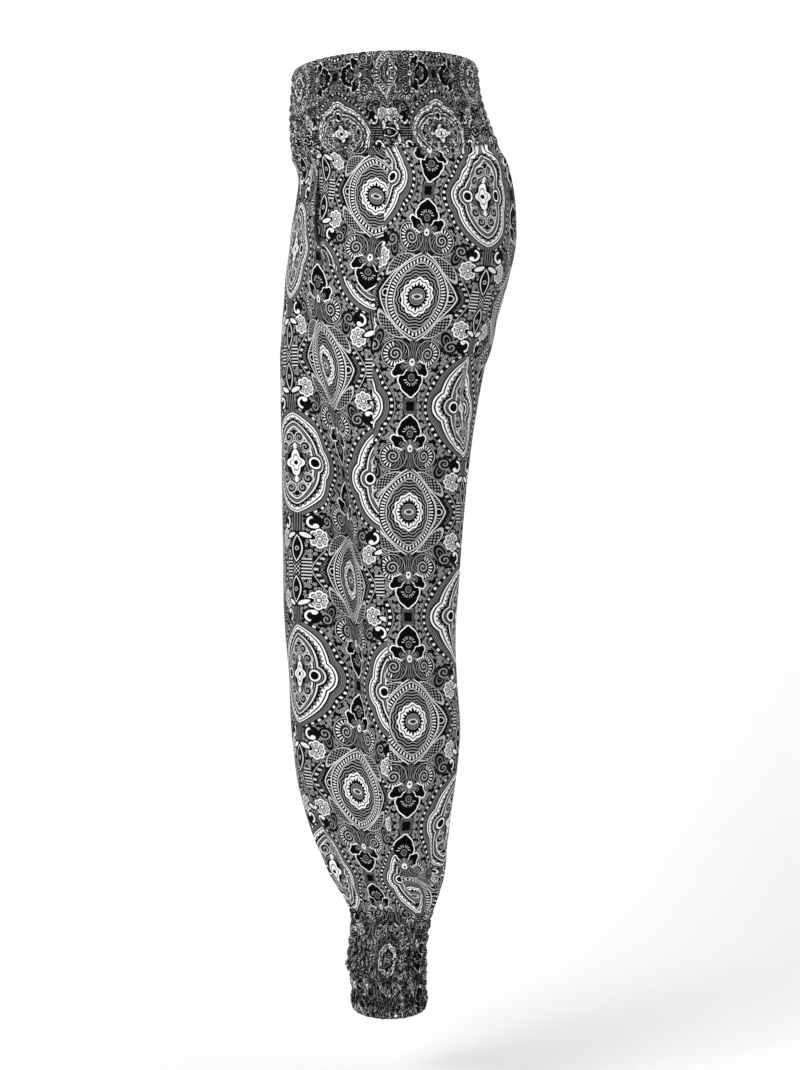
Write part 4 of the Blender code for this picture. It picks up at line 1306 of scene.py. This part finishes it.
def stitch_tree():
    tree = bpy.data.node_groups.new("row of stitches", "GeometryNodeTree")
    for name, kind in (("Path", "NodeSocketGeometry"), ("Pitch", "NodeSocketFloat"),
                       ("Length", "NodeSocketFloat"), ("Thickness", "NodeSocketFloat"),
                       ("Seed", "NodeSocketInt"), ("Thread", "NodeSocketMaterial")):
        tree.interface.new_socket(name, in_out="INPUT", socket_type=kind)
    tree.interface.new_socket("Stitches", in_out="OUTPUT", socket_type="NodeSocketGeometry")
    given = add(tree, "NodeGroupInput")
    line = add(tree, "GeometryNodeMeshToCurve", {"Mesh": given.outputs["Path"]})
    spaced = add(tree, "GeometryNodeResampleCurve",
                 {"Curve": line.outputs[0], "Length": given.outputs["Pitch"]}, mode="LENGTH")
    along_line = add(tree, "GeometryNodeInputTangent")
    turned = add(tree, "FunctionNodeAlignRotationToVector", {"Vector": along_line.outputs[0]}, axis="Z")
    bead = add(tree, "GeometryNodeMeshUVSphere", {"Segments": 6, "Rings": 3, "Radius": 0.5})
    slack = add(tree, "FunctionNodeRandomValue", {2: 0.85, 3: 1.15, "Seed": given.outputs["Seed"]})
    long = add(tree, "ShaderNodeMath", {0: slack.outputs[1], 1: given.outputs["Length"]},
               operation="MULTIPLY")
    size = add(tree, "ShaderNodeCombineXYZ", {
        0: given.outputs["Thickness"], 1: given.outputs["Thickness"], 2: long.outputs[0]})
    placed = add(tree, "GeometryNodeInstanceOnPoints", {
        "Points": spaced.outputs[0], "Instance": bead.outputs["Mesh"],
        "Rotation": turned.outputs[0], "Scale": size.outputs[0]})
    whole = add(tree, "GeometryNodeRealizeInstances", {0: placed.outputs[0]})
    done = add(tree, "GeometryNodeSetMaterial",
               {"Geometry": whole.outputs[0], "Material": given.outputs["Thread"]})
    add(tree, "NodeGroupOutput", {0: done.outputs[0]})
    return tree


STITCHES = stitch_tree()


def stitched(name, paths, seed, pitch=STITCH_PITCH, length=STITCH_LONG, thick=STITCH_THICK):
    """Stitches along paths, each a list of points in mm."""
    points, edges = [], []
    for path in paths:
        edges += [(len(points) + i, len(points) + i + 1) for i in range(len(path) - 1)]
        points += (np.asarray(path) * MM).tolist()
    data = bpy.data.meshes.new(name + "_paths")
    data.from_pydata(points, edges, [])
    lines = bpy.data.objects.new(name + "_paths", data)
    bpy.context.scene.collection.objects.link(lines)
    rows = lines.modifiers.new("stitches", "NODES")
    rows.node_group = STITCHES
    sockets = {item.name: item.identifier for item in STITCHES.interface.items_tree}
    for label, value in (("Pitch", pitch * MM), ("Length", length * MM), ("Thickness", thick * MM),
                         ("Seed", seed), ("Thread", THREAD)):
        rows[sockets[label]] = value
    shape = bpy.context.evaluated_depsgraph_get()
    done = bpy.data.meshes.new_from_object(lines.evaluated_get(shape))
    done.name = name
    lines.modifiers.clear()
    bpy.data.objects.remove(lines)
    facing_out(done)
    done.shade_smooth()
    piece = bpy.data.objects.new(name, done)
    bpy.context.scene.collection.objects.link(piece)
    return piece


print("stitch tree nodes:", len(STITCHES.nodes))

# %% [markdown]
# ## Where the stitches run
#
# The rows of elastic follow the gathers in and out, a hair above the cloth. The
# pocket's row runs along its mouth, at one distance from the turned edge. Both
# are found with the same functions that made the cloth, so they lie on it.

# %% stitched rows
def elastic_paths(node, drops, first, last):
    """Paths along the rows nearest to these drops, of a band that runs from first to last."""
    grid = BAND_LINES[node]
    rows = [round((drop - first) / (last - first) * (len(grid) - 1)) for drop in drops]
    return [grid[row, 4:-4] for row in rows]


def mouth_stitches(side):
    drops = np.linspace(WAIST_SEAM - 4, POCKET_END, STITCH_LINE_POINTS)
    angles = along(POCKET_MOUTH, drops)[0]
    radius = radius_at(drops)
    down, round_leg = np.gradient(drops), np.gradient(np.radians(angles) * radius)
    size = np.hypot(down, round_leg)
    drop = drops + round_leg / size * MOUTH_STITCHING
    angle = angles - np.degrees(down / size * MOUTH_STITCHING / radius)
    kept = (drop > WAIST_SEAM + 1.5) & (angle < seam_angle(drop, -1) - 2)
    drop, angle = drop[kept], angle[kept]
    points = ring_points(drop, angle, front_lift(drop, angle, side) + THREAD_PROUD)
    return points * (side, 1, 1)


WAIST_ELASTIC = [WAIST_SEAM * k / WAIST_SPACES for k in range(1, WAIST_SPACES)]
CUFF_ELASTIC = [CUFF_SEAM + (CUFF_TUCK - CUFF_SEAM) * k / CUFF_SPACES_ABOVE
                for k in range(1, CUFF_SPACES_ABOVE + 1)] + [(CUFF_TUCK + HEM) / 2]
THREADS = {}
THREADS["waistband_threads"] = stitched("waistband_threads", [
    path for node in ("waistband_front", "waistband_back")
    for path in elastic_paths(node, WAIST_ELASTIC, 0, WAIST_SEAM)], 1)
for side, word in SIDES:
    name = "cuff_threads_" + word
    THREADS[name] = stitched(name, [
        path * (side, 1, 1) for kind in ("front", "back")
        for path in elastic_paths(f"cuff_{kind}_{word}", CUFF_ELASTIC, CUFF_SEAM, HEM)], 2 + side)
    name = "pocket_stitches_" + word
    THREADS[name] = stitched(
        name, [mouth_stitches(side)], 5 + side, pitch=POCKET_PITCH, length=POCKET_LONG)
print("stitch triangles:", sum(len(p.data.loops) - 2 * len(p.data.polygons) for p in THREADS.values()))

# %% [markdown]
# ## Tying the pieces to the frame
#
# Every piece rides on the one body and has its material, and each cloth piece
# hides the plain solid that it stands for. The bands are cut wider than they
# hang, by their gathers.

for node, piece in PIECES.items():
    kind = node.removesuffix("_left").removesuffix("_right")
    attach(piece, "root")
    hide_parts(node)
for name, piece in THREADS.items():
    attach(piece, "root")
    piece.data.materials.clear()
    piece.data.materials.append(THREAD)
for piece in PIECES.values():
    surface = sum(face.area for face in piece.data.polygons) / 2
    print(f"{piece.name}: {surface:.4f} m2 of cloth")

# %% [markdown]
# ## Floor, light and camera
#
# A curved pale sheet makes floor and backdrop in one, so no edge shows behind
# the trousers. It is clear from behind, so they can be looked at from all round.
# A large soft light high on the wearer's front side models the folds, a weak one
# fills the other side, and the pale world lifts the shadows. The camera stands
# level on the wearer's left side, a few metres off, since a long lens keeps the
# near and the far leg nearly the same size.

# %% studio
FLOOR_Z, FLOOR_FRONT = -1.085, 4.6  # m
BACKDROP_X, BACKDROP_TOP, BACKDROP_HALF_WIDTH = -1.9, 3.2, 4.5
BEND_RADIUS, BEND_STEPS = 0.8, 16


def backdrop():
    bend_x, bend_z = BACKDROP_X + BEND_RADIUS, FLOOR_Z + BEND_RADIUS
    profile = [(FLOOR_FRONT, FLOOR_Z), (bend_x, FLOOR_Z)]
    profile += [(bend_x - BEND_RADIUS * math.sin(t), bend_z - BEND_RADIUS * math.cos(t))
                for t in (math.pi / 2 * k / BEND_STEPS for k in range(1, BEND_STEPS + 1))]
    profile.append((BACKDROP_X, BACKDROP_TOP))
    points = [(x, y, z) for x, z in profile for y in (-BACKDROP_HALF_WIDTH, BACKDROP_HALF_WIDTH)]
    faces = [(2 * i, 2 * i + 1, 2 * i + 3, 2 * i + 2) for i in range(len(profile) - 1)]
    data = bpy.data.meshes.new("backdrop")
    data.from_pydata(points, [], faces)
    data.shade_smooth()
    sheet = bpy.data.objects.new("backdrop", data)
    bpy.context.scene.collection.objects.link(sheet)
    paper = bpy.data.materials.new("matt studio paper, near white")
    paper.use_nodes = True
    tree = paper.node_tree
    tree.nodes.clear()
    front = add(tree, "ShaderNodeBsdfPrincipled", {
        "Base Color": linear(COLOURS["backdrop"]), "Roughness": 0.95, "Specular IOR Level": 0.1})
    from_behind = add(tree, "ShaderNodeNewGeometry")
    clear = add(tree, "ShaderNodeBsdfTransparent")
    seen = add(tree, "ShaderNodeMixShader", {
        0: from_behind.outputs["Backfacing"], 1: front.outputs[0], 2: clear.outputs[0]})
    add(tree, "ShaderNodeOutputMaterial", {0: seen.outputs[0]})
    data.materials.append(paper)


def soft_light(name, place, aim, size, power):
    data = bpy.data.lights.new(name, "AREA")
    data.shape, data.size, data.size_y, data.energy = "RECTANGLE", size[0], size[1], power
    lamp = bpy.data.objects.new(name, data)
    lamp.location = place
    away = [a - b for a, b in zip(place, aim)]
    flat_away = math.hypot(away[0], away[1])
    lamp.rotation_euler = (math.atan2(flat_away, away[2]), 0, math.atan2(away[0], -away[1]))
    bpy.context.scene.collection.objects.link(lamp)


backdrop()
soft_light("key", (2.6, -1.5, 1.3), (0, 0, -0.5), (1.2, 1.2), 62)
soft_light("fill", (2.4, 2.4, 0.2), (0, 0, -0.5), (2.0, 2.0), 20)
soft_light("wash", (-0.6, 0, 2.4), (-1.6, 0, -0.6), (2.5, 4.0), 40)

world = bpy.data.worlds.new("pale room")
world.use_nodes = True
world.node_tree.nodes["Background"].inputs["Color"].default_value = (1, 1, 1, 1)
world.node_tree.nodes["Background"].inputs["Strength"].default_value = 0.45
bpy.context.scene.world = world
bpy.context.scene.view_settings.view_transform = "Standard"

lens = bpy.data.cameras.new("camera")
lens.sensor_fit, lens.sensor_height, lens.lens = "VERTICAL", 36, 105.06
lens.clip_end = 50
camera = bpy.data.objects.new("camera", lens)
camera.location = (3.3, 0.015, -0.491)
camera.rotation_euler = (math.pi / 2, 0, math.pi / 2)
bpy.context.scene.collection.objects.link(camera)
bpy.context.scene.camera = camera
print("camera at", tuple(round(v, 3) for v in camera.location))
